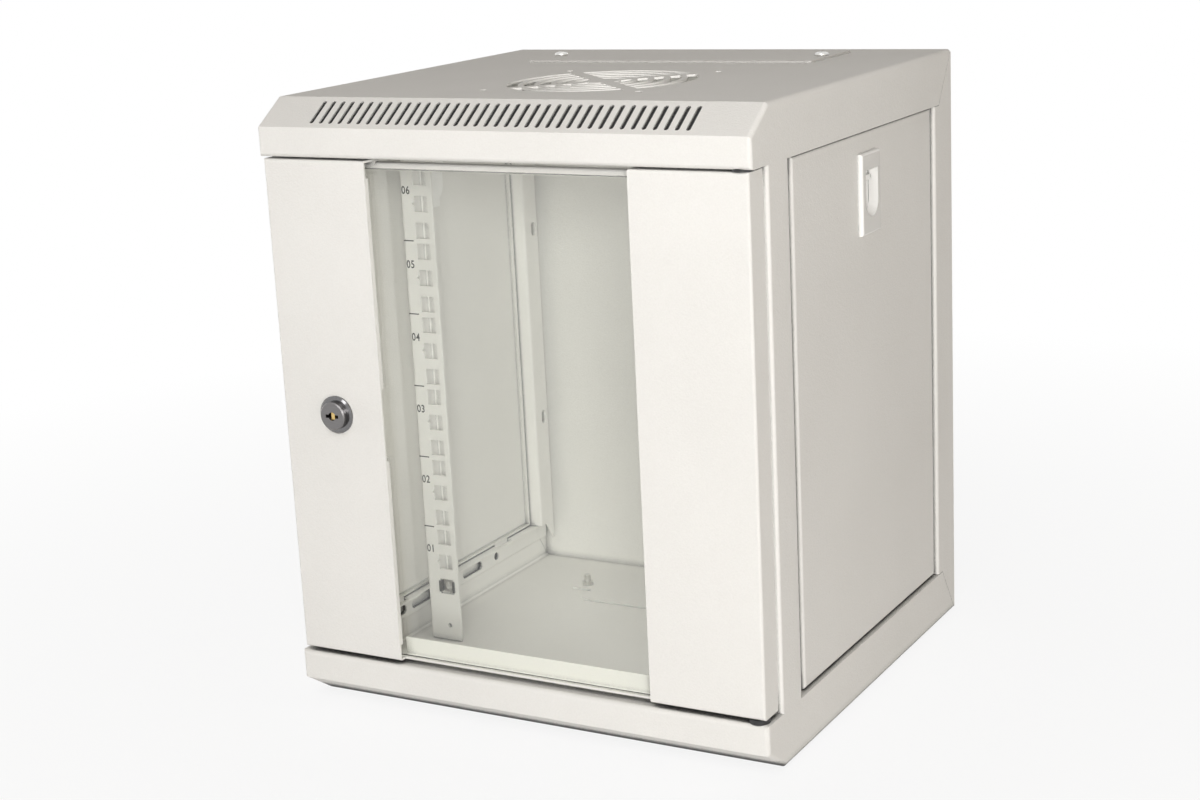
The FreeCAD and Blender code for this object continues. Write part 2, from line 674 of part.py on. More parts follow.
def cage_nut_cage():
    """Spring-steel cage: legs through the square hole, hooks in front and wings behind."""
    c = cage_nut_centre()
    leg = HOLE_SIDE / 2 - SEAM / 2
    hook_front = RAIL_Y - CAGE_WALL - SEAM / 3
    rear = RAIL_Y + RAIL_SHEET
    back = rear + CAGE_NUT_H + CAGE_WALL
    low, high = c.z - CAGE_W / 2, c.z + CAGE_W / 2
    points = [Vector(c.x + leg, hook_front, low), Vector(c.x + leg, back, low),
              Vector(c.x - leg, back, low), Vector(c.x - leg, hook_front, low)]
    parts = [folded(points, Z_AXIS, CAGE_W, CAGE_WALL, CAGE_WALL / 2)]
    for sign in (-1, 1):
        x0, x1 = sorted((c.x + sign * (leg - CAGE_WALL), c.x + sign * (leg + CAGE_HOOK)))
        parts.append(box(x0, x1, hook_front, hook_front + CAGE_WALL, low, high))
        parts.append(box(x0, x1, rear, rear + CAGE_WALL, low, high))
    hole = rod(CAGE_THREAD_R + CAGE_WALL, c, c + Y_AXIS * (back - RAIL_Y + 1))
    return fuse(parts).cut(hole)


def cage_nut_square():
    c = cage_nut_centre()
    half = HOLE_SIDE / 2 - CAGE_WALL - SEAM * 1.5
    front = RAIL_Y + RAIL_SHEET + CAGE_WALL
    rear = RAIL_Y + RAIL_SHEET + CAGE_NUT_H
    block = box(c.x - half, c.x + half, front, rear, c.z - half, c.z + half)
    return block.cut(rod(CAGE_THREAD_R, c, c + Y_AXIS * (CAGE_NUT_H + 2 * RAIL_SHEET)))


# ---- Cable plates

def top_cable_plate():
    z = HEIGHT
    plate = box(-TOP_PLATE_W / 2, TOP_PLATE_W / 2, ENTRY_Y - TOP_PLATE_D / 2,
                ENTRY_Y + TOP_PLATE_D / 2, z, z + SHEET)
    plate = fillet_where(plate, PLATE_CORNER / 2, lambda middle, direction: abs(direction.z) > 0.9)
    return cut(plate, [rod(PLATE_STUD_R + BOLT_PLAY, p, p + Z_AXIS * 3 * SHEET)
                       for p in fixing_points(z - SHEET)])


def base_cable_plate():
    """Plate on the floor over the cable entry, with an ear at each end for its stud."""
    half_w, half_d = BASE_PLATE_W / 2, BASE_PLATE_D / 2
    c = PLATE_CORNER
    z = SHEET
    plate = prism([Vector(x, ENTRY_Y + y, z) for x, y in (
        (-half_w + c, -half_d), (half_w - c, -half_d), (half_w, -half_d + c), (half_w, half_d - c),
        (half_w - c, half_d), (-half_w + c, half_d), (-half_w, half_d - c), (-half_w, -half_d + c))],
        Z_AXIS * SHEET)
    ear_x = PLATE_FIXING_X + EAR_EDGE
    ears = box(-ear_x, ear_x, ENTRY_Y - EAR_D / 2, ENTRY_Y + EAR_D / 2, z, z + SHEET)
    return cut(fuse([plate, ears]), [rod(PLATE_STUD_R + BOLT_PLAY, p, p + Z_AXIS * 3 * SHEET)
                                     for p in fixing_points(0)])


def top_plate_screws():
    screws = []
    for p in fixing_points(HEIGHT + SHEET):
        head = rod(PLATE_STUD_R * 2, p, p + Z_AXIS * PLATE_STUD_R * 1.2)
        screws.append(fuse([head, rod(PLATE_STUD_R, p - Z_AXIS * STUD_H, p)]))
    return group(screws)


def plate_nut(base, up):
    """Hexagonal nut on a plate's screw, standing on base towards up."""
    corners = [Vector(PLATE_STUD_R * 2 * math.cos(math.radians(60 * i)),
                      PLATE_STUD_R * 2 * math.sin(math.radians(60 * i)), 0) for i in range(6)]
    nut = prism([base + corner for corner in corners], up * PLATE_STUD_R * 1.2)
    return nut.cut(rod(PLATE_STUD_R, base - up, base + up * PLATE_STUD_R * 3))


def top_plate_nuts():
    return group([plate_nut(p, Z_AXIS * -1) for p in fixing_points(HEIGHT - SHEET)])


def base_plate_studs():
    studs = []
    for p in fixing_points(0):
        studs.append(rod(PLATE_STUD_R, p, p + Z_AXIS * (2 * SHEET + STUD_H)))
    return group(studs)


def base_plate_nuts():
    return group([plate_nut(p, Z_AXIS) for p in fixing_points(2 * SHEET)])


# ---- Side panels

def tab_places():
    return (PANEL_FRONT + TAB_FROM_END, PANEL_REAR - TAB_FROM_END)


def side_panel_right():
    """Shallow tray, open inwards, with two tabs that drop into the base."""
    deep = PANEL_X - PANEL_RETURN
    tray = box(deep, PANEL_X, PANEL_FRONT, PANEL_REAR, PANEL_LOW, PANEL_HIGH)
    tray = fillet_where(tray, PANEL_EDGE_R, lambda middle, direction: middle.x > PANEL_X - 0.01)
    hollow = box(deep - 1, PANEL_X - SHEET, PANEL_FRONT + SHEET, PANEL_REAR - SHEET,
                 PANEL_LOW + SHEET, PANEL_HIGH - SHEET)
    half_w, half_h = LATCH_BOX_W / 2 + SEAM, LATCH_BOX_H / 2 + SEAM
    latch_hole = box(deep - 1, PANEL_X + 1, LATCH_Y - half_w, LATCH_Y + half_w,
                     LATCH_Z - half_h, LATCH_Z + half_h)
    half = TONGUE_W / 2 + SEAM
    tongue_notch = box(deep - 1, tongue_x() + SLIDER_T + SEAM, LATCH_Y - half, LATCH_Y + half,
                       PANEL_HIGH - 2 * SHEET, PANEL_HIGH + 1)
    tabs = [box(deep, deep + SHEET, y - TAB_W / 2, y + TAB_W / 2, PANEL_LOW - TAB_DROP, PANEL_LOW + SHEET)
            for y in tab_places()]
    return fuse([cut(tray, [hollow, latch_hole, tongue_notch])] + tabs)


def tongue_x():
    """Inner face of the latch's slider."""
    return PANEL_X - SHEET - LATCH_BOX_DEPTH + LATCH_WALL + SLIDER_PLAY


def round_ended(x0, x1, wall):
    """The latch's finger window, grown by wall all round and carried from x0 to x1."""
    half = LATCH_WINDOW_W / 2
    centre = LATCH_Z - LATCH_WINDOW_H / 2 + half
    top = LATCH_Z + LATCH_WINDOW_H / 2 + wall
    upper = box(x0, x1, LATCH_Y - half - wall, LATCH_Y + half + wall, centre, top)
    return fuse([upper, rod(half + wall, Vector(x0, LATCH_Y, centre), Vector(x1, LATCH_Y, centre))])


def latch_bezel_right():
    """Raised plastic frame with a finger window, and the box behind it that guides the slider."""
    face = box(PANEL_X, PANEL_X + LATCH_PROUD, LATCH_Y - LATCH_W / 2, LATCH_Y + LATCH_W / 2,
               LATCH_Z - LATCH_H / 2, LATCH_Z + LATCH_H / 2)
    face = fillet_where(face, LATCH_EDGE_R, lambda middle, direction: (
        middle.x > PANEL_X + LATCH_PROUD - 0.01))
    guide_x = PANEL_X - SHEET - LATCH_BOX_DEPTH
    case = box(guide_x, PANEL_X, LATCH_Y - LATCH_BOX_W / 2, LATCH_Y + LATCH_BOX_W / 2,
               LATCH_Z - LATCH_BOX_H / 2, LATCH_Z + LATCH_BOX_H / 2)
    recess_x = PANEL_X - SHEET - FINGER_DEPTH
    scoop = round_ended(recess_x, guide_x, LATCH_WALL)
    window = round_ended(recess_x + LATCH_WALL, PANEL_X + LATCH_PROUD + 1, 0)
    x = guide_x + LATCH_WALL
    guide_half = LATCH_BOX_W / 2 - LATCH_WALL
    guide = box(x, x + SLIDER_T + 2 * SLIDER_PLAY, LATCH_Y - guide_half, LATCH_Y + guide_half,
                LATCH_Z - LATCH_BOX_H / 2 + LATCH_WALL, LATCH_Z + LATCH_BOX_H / 2 - LATCH_WALL)
    exit_half = TONGUE_W / 2 + SLIDER_PLAY
    way_out = box(x, x + SLIDER_T + 2 * SLIDER_PLAY, LATCH_Y - exit_half, LATCH_Y + exit_half,
                  LATCH_Z, LATCH_Z + LATCH_BOX_H / 2 + 1)
    return cut(fuse([face, case, scoop]), [window, guide, way_out])


def latch_slider_right():
    """Frame round the finger recess, with a grip above it and a tongue behind the top cover's lip."""
    x = tongue_x()
    half = LATCH_BOX_W / 2 - LATCH_WALL - SLIDER_PLAY
    low = LATCH_Z - LATCH_BOX_H / 2 + LATCH_WALL + SLIDER_PLAY
    high = LATCH_Z + LATCH_BOX_H / 2 - LATCH_WALL - SLIDER_PLAY - LATCH_TRAVEL
    plate = box(x, x + SLIDER_T, LATCH_Y - half, LATCH_Y + half, low, high)
    tongue = box(x, x + SLIDER_T, LATCH_Y - TONGUE_W / 2, LATCH_Y + TONGUE_W / 2,
                 low, TOP_EDGE - TONGUE_END_GAP)
    grip_half = LATCH_WINDOW_W / 2 - 1
    grip_z = LATCH_Z + LATCH_WINDOW_H / 2 - LATCH_TRAVEL - GRIP_H - 1
    grip = box(x, PANEL_X - SHEET, LATCH_Y - grip_half, LATCH_Y + grip_half, grip_z, grip_z + GRIP_H)
    finger_half = LATCH_WINDOW_W / 2 + FINGER_CLEAR
    finger = box(x - 1, x + SLIDER_T + 1, LATCH_Y - finger_half, LATCH_Y + finger_half,
                 LATCH_Z - LATCH_WINDOW_H / 2 - LATCH_TRAVEL, grip_z)
    return fuse([cut(fuse([plate, tongue]), [finger]), grip])


# ---- Door

def door_frame():
    """One folded sheet: two wide columns, tied by slim recessed rails above and below the window."""
    outer = box(-DOOR_X, DOOR_X, DOOR_SETBACK, DOOR_REAR, DOOR_LOW, DOOR_HIGH)
    outer = fillet_where(outer, DOOR_EDGE_R, lambda middle, direction: middle.y < DOOR_SETBACK + 0.01)
    hollow = box(-DOOR_X + SHEET, DOOR_X - SHEET, COLUMN_BACK, DOOR_REAR + 1,
                 DOOR_LOW + SHEET, DOOR_HIGH - SHEET)
    edge = WINDOW_W / 2
    gap = box(-edge, edge, DOOR_SETBACK - 1, DOOR_REAR + 1, DOOR_LOW - 1, DOOR_HIGH + 1)
    columns = cut(outer, [hollow, gap])
    hem = box(edge, edge + SHEET, COLUMN_BACK - SHEET / 2, DOOR_SETBACK + HEM,
              DOOR_LOW + HEM_END, DOOR_HIGH - HEM_END)
    lock_gap = box(-edge - 2 * SHEET, -edge + 1, COLUMN_BACK, DOOR_REAR, LOCK_GAP_LOW, LOCK_GAP_HIGH)
    hems = [hem, mirrored_x(hem).cut(lock_gap)]
    reach = edge + SHEET
    web_rear = DOOR_RAIL_Y + SHEET
    bottom = [Vector(-reach, GLASS_Y, DOOR_LOW), Vector(-reach, web_rear, DOOR_LOW),
              Vector(-reach, web_rear, DOOR_LOW + BOTTOM_RAIL_H)]
    top = [Vector(-reach, DOOR_REAR, TOP_RAIL_HIGH), Vector(-reach, DOOR_RAIL_Y, TOP_RAIL_HIGH),
           Vector(-reach, DOOR_RAIL_Y, TOP_RAIL_HIGH - TOP_RAIL_H)]
    rails = [folded(points, X_AXIS, 2 * reach) for points in (bottom, top)]
    end = box(edge, edge + TOP_RAIL_END, DOOR_RAIL_Y, web_rear,
              TOP_RAIL_HIGH - TOP_RAIL_H, DOOR_HIGH - SHEET / 2)
    rails += [end, mirrored_x(end)]
    lock_hole = rod(BARREL_R + BOLT_PLAY, Vector(LOCK_X, 0, LOCK_Z), Vector(LOCK_X, DOOR_REAR, LOCK_Z))
    pin_hole = rod(PIN_R + RUNNING, Vector(HINGE_X, HINGE_Y, DOOR_LOW - 1),
                   Vector(HINGE_X, HINGE_Y, DOOR_HIGH + 1))
    return cut(fuse([columns] + hems + rails), [lock_hole, pin_hole])


def door_glass():
    glass = box(-GLASS_W / 2, GLASS_W / 2, GLASS_Y, GLASS_Y + GLASS_T, GLASS_LOW, GLASS_HIGH)
    return fillet_where(glass, 0.5, lambda middle, direction: abs(direction.y) < 0.1)


def without_lock_gap(shape):
    """The left fittings come in two lengths, clear of the lock."""
    return shape.cut(box(-SIDE, 0, 0, DOOR_REAR + 5, LOCK_GAP_LOW, LOCK_GAP_HIGH))


def glass_gasket_right():
    return box(GASKET_IN, GASKET_IN + GASKET_W, COLUMN_BACK, GLASS_Y, GLASS_LOW + BOTTOM_RAIL_H,
               GLASS_HIGH - TOP_RAIL_H)


def glass_retainer_right():
    """Z-shaped strip: its foot on the column's studs, its other edge over the back of the glass."""
    rear = GLASS_Y + GLASS_T
    x_out = GLASS_W / 2 + GLASS_CLEAR
    z = GLASS_LOW + BOTTOM_RAIL_H
    points = [Vector(GLASS_W / 2 - RETAINER_LAP, rear, z), Vector(x_out, rear, z),
              Vector(x_out, COLUMN_BACK, z), Vector(x_out + SHEET + RETAINER_FOOT, COLUMN_BACK, z)]
    return folded(points, Z_AXIS, GLASS_HIGH - TOP_RAIL_H - z)


def retainer_nuts():
    """Cap nuts that hold the retainers' feet to the columns."""
    x = GLASS_W / 2 + GLASS_CLEAR + SHEET + RETAINER_FOOT / 2
    heights = (DOOR_LOW + NUT_FROM_END, LOCK_GAP_LOW - NUT_FROM_LOCK,
               LOCK_GAP_HIGH + NUT_FROM_LOCK, DOOR_HIGH - NUT_FROM_END)
    starts = [Vector(side * x, COLUMN_BACK + SHEET, z) for side in (-1, 1) for z in heights]
    return group([hexagon(NUT_R, start, start + Y_AXIS * NUT_H) for start in starts])


# ---- Lock

def lock_point(y):
    return Vector(LOCK_X, y, LOCK_Z)


def cam_y():
    return POST_Y + SHEET + CAM_GAP


def lock_housing():
    """Round bezel on the door's face and the threaded barrel behind it."""
    bezel = rod(BEZEL_R, lock_point(DOOR_SETBACK - BEZEL_T), lock_point(DOOR_SETBACK))
    bezel = bezel.makeChamfer(BEZEL_T / 2, [max(
        bezel.Edges, key=lambda edge: edge.Length if edge.BoundBox.YMax < DOOR_SETBACK - 1 else 0)])
    barrel = rod(BARREL_R, lock_point(DOOR_SETBACK), lock_point(cam_y() - CAM_GAP))
    bore = rod(PLUG_R + RUNNING, lock_point(DOOR_SETBACK - 2 * BEZEL_T), lock_point(cam_y() + 1))
    return fuse([bezel, barrel]).cut(bore)


def lock_nut():
    nut = hexagon(LOCK_NUT_R, lock_point(COLUMN_BACK), lock_point(COLUMN_BACK + LOCK_NUT_T))
    return nut.cut(rod(BARREL_R, lock_point(0), lock_point(DOOR_REAR)))


def lock_plug():
    """The part that turns with the key: round head, keyway, shank with a square end for the cam."""
    head_rear = DOOR_SETBACK - BEZEL_T - RUNNING
    head = rod(PLUG_HEAD_R, lock_point(head_rear - PLUG_HEAD_T + RUNNING), lock_point(head_rear))
    head = head.makeChamfer(0.6, [max(
        head.Edges, key=lambda edge: edge.Length if edge.BoundBox.YMax < head_rear - 1 else 0)])
    shank = rod(PLUG_R, lock_point(head_rear), lock_point(cam_y()))
    side = PLUG_R / 2
    square = box(LOCK_X - side, LOCK_X + side, cam_y(), cam_y() + CAM_T, LOCK_Z - side, LOCK_Z + side)
    keyway = box(LOCK_X - KEYWAY_W / 2, LOCK_X + KEYWAY_W / 2, head_rear - 2 * PLUG_HEAD_T,
                 head_rear + KEYWAY_DEPTH,
                 LOCK_Z - KEYWAY_H / 2, LOCK_Z + KEYWAY_H / 2)
    keyhole = rod(KEYHOLE_R, lock_point(head_rear - 2 * PLUG_HEAD_T), lock_point(head_rear + KEYWAY_DEPTH))
    return cut(fuse([head, shank, square]), [keyway, keyhole])


def lock_wafer():
    """Brass wafer that shows in the round middle of the keyway."""
    head_rear = DOOR_SETBACK - BEZEL_T - RUNNING
    front = head_rear - PLUG_HEAD_T + WAFER_BACK
    return box(LOCK_X - WAFER_W / 2, LOCK_X + WAFER_W / 2, front, head_rear + KEYWAY_DEPTH,
               LOCK_Z - WAFER_H / 2, LOCK_Z + WAFER_H / 2)


def lock_cam():
    """Flat arm that turns behind the post's flange."""
    y = cam_y()
    half = CAM_W / 2
    arm = box(LOCK_X - half, LOCK_X + half, y, y + CAM_T, LOCK_Z, LOCK_Z + CAM_L)
    boss = rod(half, lock_point(y), lock_point(y + CAM_T))
    side = PLUG_R / 2
    hole = box(LOCK_X - side, LOCK_X + side, y - 1, y + CAM_T + 1, LOCK_Z - side, LOCK_Z + side)
    arm = fillet_where(arm, 2, lambda middle, direction: (
        abs(direction.y) > 0.9 and middle.z > LOCK_Z + 1))
    return fuse([arm, boss]).cut(hole)


def lock_cam_screw():
    y = cam_y() + CAM_T
    return rod(CAM_SCREW_R, lock_point(y), lock_point(y + CAM_T))


# ---- Hinge

def hinge_point(z):
    return Vector(HINGE_X, HINGE_Y, z)


def hinge_pin_lower():
    """Fixed pin: flange under the base's lip, shank up into the door."""
    lip_under = COVER_H - SHEET
    flange = rod(PIN_FLANGE_R, hinge_point(lip_under - PIN_FLANGE_T), hinge_point(lip_under))
    return fuse([flange, rod(PIN_R, hinge_point(lip_under), hinge_point(DOOR_LOW + PIN_REACH))])


def hinge_bush_lower():
    bush = rod(BUSH_R, hinge_point(COVER_H), hinge_point(DOOR_LOW - BUSH_GAP))
    return bush.cut(rod(PIN_R + RUNNING, hinge_point(COVER_H - 1), hinge_point(DOOR_LOW)))


def hinge_plate(low):
    x1 = DOOR_X - SHEET
    plate = box(x1 - HINGE_PLATE_W, x1, COLUMN_BACK, COLUMN_BACK + HINGE_PLATE_D,
                low, low + HINGE_PLATE_T)
    return plate.cut(rod(PIN_R + RUNNING, hinge_point(low - 1), hinge_point(low + HINGE_PLATE_T + 1)))


def hinge_plate_lower():
    return hinge_plate(DOOR_LOW + SHEET)


def hinge_plate_upper():
    return hinge_plate(DOOR_HIGH - SHEET - HINGE_PLATE_T)


def hinge_pin_upper():
    """Pin carried by the door; it stands up through the top cover's lip."""
    under = DOOR_HIGH - SHEET - HINGE_PLATE_T
    collar = rod(PIN_FLANGE_R, hinge_point(under - PIN_FLANGE_T), hinge_point(under))
    return fuse([collar, rod(PIN_R, hinge_point(under - PIN_TAIL), hinge_point(TOP_EDGE + SHEET))])


def hinge_bush_upper():
    thin = rod(BUSH_R, hinge_point(DOOR_HIGH + BUSH_GAP), hinge_point(TOP_EDGE))
    return thin.cut(rod(PIN_R + RUNNING, hinge_point(DOOR_HIGH), hinge_point(TOP_EDGE + 1)))


# ---- Build

LEFT_AND_RIGHT = {
    "front_post": front_post_right,
    "rear_post": rear_post_right,
    "lower_side_rail": lower_side_rail_right,
    "upper_side_rail": lambda: mirrored_z(lower_side_rail_right()),
    "mounting_rail": mounting_rail_right,
    "rail_brackets": rail_brackets_right,
    "rail_bolts": rail_bolts_right,
    "rail_nuts": rail_nuts_right,
    "side_panel": side_panel_right,
    "latch_bezel": latch_bezel_right,
    "latch_slider": latch_slider_right,
    "glass_gasket": glass_gasket_right,
    "glass_retainer": glass_retainer_right,
}

SINGLE = [base_cover, top_cover, back_panel, cage_nut_cage, cage_nut_square,
          top_cable_plate, base_cable_plate, top_plate_screws, top_plate_nuts, base_plate_studs,
          base_plate_nuts, door_frame, door_glass, retainer_nuts, lock_housing, lock_nut,
          lock_plug, lock_wafer, lock_cam, lock_cam_screw, hinge_pin_lower, hinge_pin_upper,
          hinge_bush_lower, hinge_bush_upper, hinge_plate_lower, hinge_plate_upper]

TWO_LENGTHS_ON_THE_LEFT = ("glass_gasket", "glass_retainer")


def write(name, shape):
    placed = shape.copy()
    placed.translate(Vector(0, FRONT, 0))
    placed.exportStep("parts/" + name + ".step")
    print(name, len(placed.Solids), "solids, valid", placed.isValid(), "volume", round(placed.Volume, 1))


def main():
    os.makedirs("parts", exist_ok=True)
    for make in SINGLE:
        write(make.__name__, make())
    for name, make in LEFT_AND_RIGHT.items():
        right = make()
        left = mirrored_x(right)
        if name in TWO_LENGTHS_ON_THE_LEFT:
            left = without_lock_gap(left)
        write(name + "_right", right)
        write(name + "_left", left)


main()
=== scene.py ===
# %% [markdown]
# # A small wall cabinet for network equipment
#
# The cabinet is folded from steel sheet and powder coated in a light warm grey. It has a glass
# door in a steel frame, two side panels that lift off, two rails with square holes inside, and a
# grille in the roof. Its metal, glass and plastic parts come in from the imported model as they
# are. This script gives each of them a finish, with shade painted into narrow gaps, replaces the
# plain screws with screws that have a real head, prints the unit numbers on the rails, lays a dark
# strip behind the vent slots as painted shade, and sets up the light and the camera.

import json
import math

import bpy
import numpy as np
from mathutils import Matrix, Vector


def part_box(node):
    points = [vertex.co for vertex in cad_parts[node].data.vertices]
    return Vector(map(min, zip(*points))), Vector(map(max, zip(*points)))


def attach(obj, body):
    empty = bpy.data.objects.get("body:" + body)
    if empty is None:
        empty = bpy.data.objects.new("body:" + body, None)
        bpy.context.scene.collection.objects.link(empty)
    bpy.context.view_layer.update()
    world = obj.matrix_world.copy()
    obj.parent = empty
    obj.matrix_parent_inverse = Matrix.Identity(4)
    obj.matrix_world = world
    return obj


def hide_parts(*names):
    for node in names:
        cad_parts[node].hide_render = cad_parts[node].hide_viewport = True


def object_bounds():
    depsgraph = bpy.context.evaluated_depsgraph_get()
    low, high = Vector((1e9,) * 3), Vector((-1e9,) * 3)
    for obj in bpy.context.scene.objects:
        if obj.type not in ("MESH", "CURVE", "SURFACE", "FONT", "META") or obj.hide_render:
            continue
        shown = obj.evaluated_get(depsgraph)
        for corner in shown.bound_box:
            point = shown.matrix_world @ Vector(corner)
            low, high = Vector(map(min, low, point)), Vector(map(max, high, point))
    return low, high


MM = 0.001
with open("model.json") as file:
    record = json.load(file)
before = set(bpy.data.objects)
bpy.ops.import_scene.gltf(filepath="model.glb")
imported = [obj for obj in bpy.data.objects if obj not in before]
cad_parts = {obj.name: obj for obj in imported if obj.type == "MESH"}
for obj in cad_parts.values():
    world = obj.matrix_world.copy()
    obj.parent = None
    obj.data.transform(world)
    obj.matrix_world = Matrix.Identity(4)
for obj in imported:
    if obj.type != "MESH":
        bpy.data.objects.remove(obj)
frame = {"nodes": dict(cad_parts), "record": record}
nodes = frame["nodes"]
cad_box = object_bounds()
print("nodes", len(nodes), "box", cad_box)

# %% [markdown]
# ## Writing a finish as sums
#
# A procedural finish is a network of small nodes. Wired one by one, even a simple sum such as
# `0.4 + 0.1 * grain` takes four statements. So `Amount` wraps the output of a node and answers to
# `+` and `*`, each of which adds one Math node. `Network` holds the nodes of a material or of the
# world, and its `node` method adds any other kind of node: first its settings, then the values or
# links of its sockets.

# %% Amount and Network
class Amount:
    """The output of a node, written in sums."""

    def __init__(self, network, socket):
        self.network, self.socket = network, socket

    def _math(self, operation, first, second):
        return self.network.node("ShaderNodeMath", {"operation": operation}, {0: first, 1: second})

    def __add__(self, other):
        return self._math("ADD", self, other)

    def __radd__(self, other):
        return self._math("ADD", other, self)

    def __mul__(self, other):
        return self._math("MULTIPLY", self, other)

    def __rmul__(self, other):
        return self._math("MULTIPLY", other, self)


class Network:
    """The nodes of a material or of the world, while it is being made."""

    def __init__(self, owner):
        owner.use_nodes = True
        self.tree = owner.node_tree
        self.tree.nodes.clear()

    def node(self, kind, settings=None, sockets=None, output=0):
        """A new node of this kind, given back as the Amount at one of its outputs."""
        made = self.tree.nodes.new(kind)
        for name, value in (settings or {}).items():
            if name == "stops":
                self._set_stops(made.color_ramp, value)
            else:
                setattr(made, name, value)
        for name, value in (sockets or {}).items():
            if isinstance(value, Amount):
                self.tree.links.new(value.socket, made.inputs[name])
            else:
                made.inputs[name].default_value = value
        return Amount(self, made.outputs[output])

    def _set_stops(self, ramp, stops):
        while len(ramp.elements) < len(stops):
            ramp.elements.new(0.5)
        for element, (position, level) in zip(ramp.elements, stops):
            element.position = position
            element.color = (level, level, level, 1)

    def ray(self, kind):
        """1 for a ray of this kind, such as Camera, and 0 for any other."""
        return self.node("ShaderNodeLightPath", output=f"Is {kind} Ray")

    def either(self, first, second):
        """The larger of two amounts, so 1 where either of them is 1."""
        return self.node("ShaderNodeMath", {"operation": "MAXIMUM"}, {0: first, 1: second})

    def mixed_shader(self, share, first, second):
        """The shader first where share is 0, and second where it is 1."""
        return self.node("ShaderNodeMixShader", {}, {0: share, 1: first, 2: second})

    def end(self, kind, shader):
        """Join the shader to an output node of this kind."""
        output = self.tree.nodes.new(kind)
        self.tree.links.new(shader.socket, output.inputs["Surface"])


# %% [markdown]
# `Finish` is the network of one material, with the few patterns and mixes that the finishes below
# are made of. A Mix node has a set of sockets for each kind of value that it can mix, so the ones
# for colours are asked for by number.

# %% Finish
MIX_SHARE, MIX_FIRST, MIX_SECOND, MIX_RESULT = 0, 6, 7, 2
CLOSED_IN, OPEN = 0.24, 0.52    # openness at which the painted gap shade is darkest, and at which there is none
DEEPEST = 0.03                  # what is left of the colour under the darkest painted shade
GAP_SAMPLES = 4


class Finish(Network):
    """One material while it is being made."""

    def __init__(self, name):
        self.material = bpy.data.materials.new(name)
        super().__init__(self.material)
        self.place = self.node("ShaderNodeTexCoord", output="Object")

    def noise(self, size, detail=2.0, stretch=(1, 1, 1)):
        """Soft random pattern from 0 to 1 whose features are about size metres across."""
        place = self.place
        if stretch != (1, 1, 1):
            place = self.node("ShaderNodeMapping", {}, {"Vector": place, "Scale": stretch})
        return self.node("ShaderNodeTexNoise", {},
                         {"Vector": place, "Scale": 1 / size, "Detail": detail})

    def steps(self, amount, stops):
        """amount redrawn through a ramp of (position, level) stops."""
        return self.node("ShaderNodeValToRGB", {"stops": stops}, {"Fac": amount})

    def between(self, share, first, second, blend="MIX"):
        """The colour first where share is 0, and blended with second where it is 1."""
        return self.node("ShaderNodeMix", {"data_type": "RGBA", "blend_type": blend},
                         {MIX_SHARE: share, MIX_FIRST: first, MIX_SECOND: second},
                         output=MIX_RESULT)

    def paint_shade_in_gaps(self, colour, reach, alone=False):
        """colour made darker, as painted shade, where surfaces within reach metres close a place
        in.

        With alone, only the piece's own surfaces count."""
        openness = self.node("ShaderNodeAmbientOcclusion",
                             {"samples": GAP_SAMPLES, "only_local": alone},
                             {"Distance": reach}, output="AO")
        shade = self.steps(openness, [(CLOSED_IN, DEEPEST), (OPEN, 1)])
        return self.between(1.0, colour, shade, "MULTIPLY")

    def bump(self, height, depth):
        """The surface's direction with a height from 0 to 1 standing depth metres proud."""
        return self.node("ShaderNodeBump", {}, {"Height": height, "Distance": depth})

    def shader(self, **sockets):
        """A Principled shader; an underscore in a socket's name stands for a space."""
        named = {name.replace("_", " "): value for name, value in sockets.items()}
        return self.node("ShaderNodeBsdfPrincipled", {}, named)

    def done(self, shader):
        """Join the shader to the material's output and give back the material."""
        self.end("ShaderNodeOutputMaterial", shader)
        return self.material


def rgb(red, green, blue):
    """A colour with the fourth value, full opacity, that a colour socket asks for."""
    return (red, green, blue, 1.0)


# %% [markdown]
# ## Powder coat
#
# The sheet metal is sprayed with a dry powder that melts in an oven. It never levels out fully:
# close up it has a fine grit, and over that the slow waves that painters call orange peel. The
# coat is also a touch thicker in some places than in others, which shows as a faint drift in
# tone. Three noise patterns of different size give the three, and only the two small ones lift
# the surface.
#
# Where sheets meet and in other narrow gaps, shade is painted into the colour. An Ambient
# Occlusion node measures how far a place is closed in, and a ramp darkens only the narrowest gaps
# as painted shade. On the roof cover, whose edge stands over the door and the panels, it looks
# further round. The door's coat leaves other parts out of account, or its rails behind the glass
# would count as closed in by the pane.

# %% Powder coat
GAP_REACH = 12 * MM
COVER_GAP_REACH = 30 * MM


def make_powder_coat(name, reach, alone=False):
    """The coat, with shade painted into gaps narrower than about reach metres; with alone, only the
    piece's own surfaces count.
    """
    coat = Finish(name)
    grit = coat.noise(0.9 * MM)
    peel = coat.noise(2.4 * MM, detail=1)
    drift = coat.noise(140 * MM, detail=3)
    # noise keeps near its middle, so the ramp stretches that part to the whole range of tone
    tone = coat.steps(drift * 0.6 + grit * 0.4, [(0.36, 0), (0.62, 1)])
    colour = coat.between(tone, rgb(0.826, 0.813, 0.783), rgb(0.871, 0.858, 0.829))
    # painted shade: the colour is darkened in narrow gaps and seams
    colour = coat.paint_shade_in_gaps(colour, reach, alone)
    height = grit * 0.65 + peel * 0.35
    return coat.done(coat.shader(Base_Color=colour, Roughness=0.52 + 0.2 * grit,
                                 Specular_IOR_Level=0.16, Normal=coat.bump(height, 0.24 * MM)))


powder_coat = make_powder_coat("powder_coat", GAP_REACH)
cover_coat = make_powder_coat("cover_coat", COVER_GAP_REACH)
door_coat = make_powder_coat("door_coat", GAP_REACH, alone=True)
print("made", powder_coat.name, cover_coat.name, door_coat.name)

# %% [markdown]
# ## Bare and plated metal
#
# Screws and nuts are zinc plated: a cool grey that is cloudy rather than mirror bright, with a
# little yellow where the passivation is thicker. The cage nut's clip is oiled spring steel,
# nearly black and slightly blue. Both are metals with a noise that moves colour and roughness
# together, because a cloudy patch is duller as well as paler. The same noise lifts the surface a
# little, unless the metal has a relief of its own, as the zinc has fine scratches.

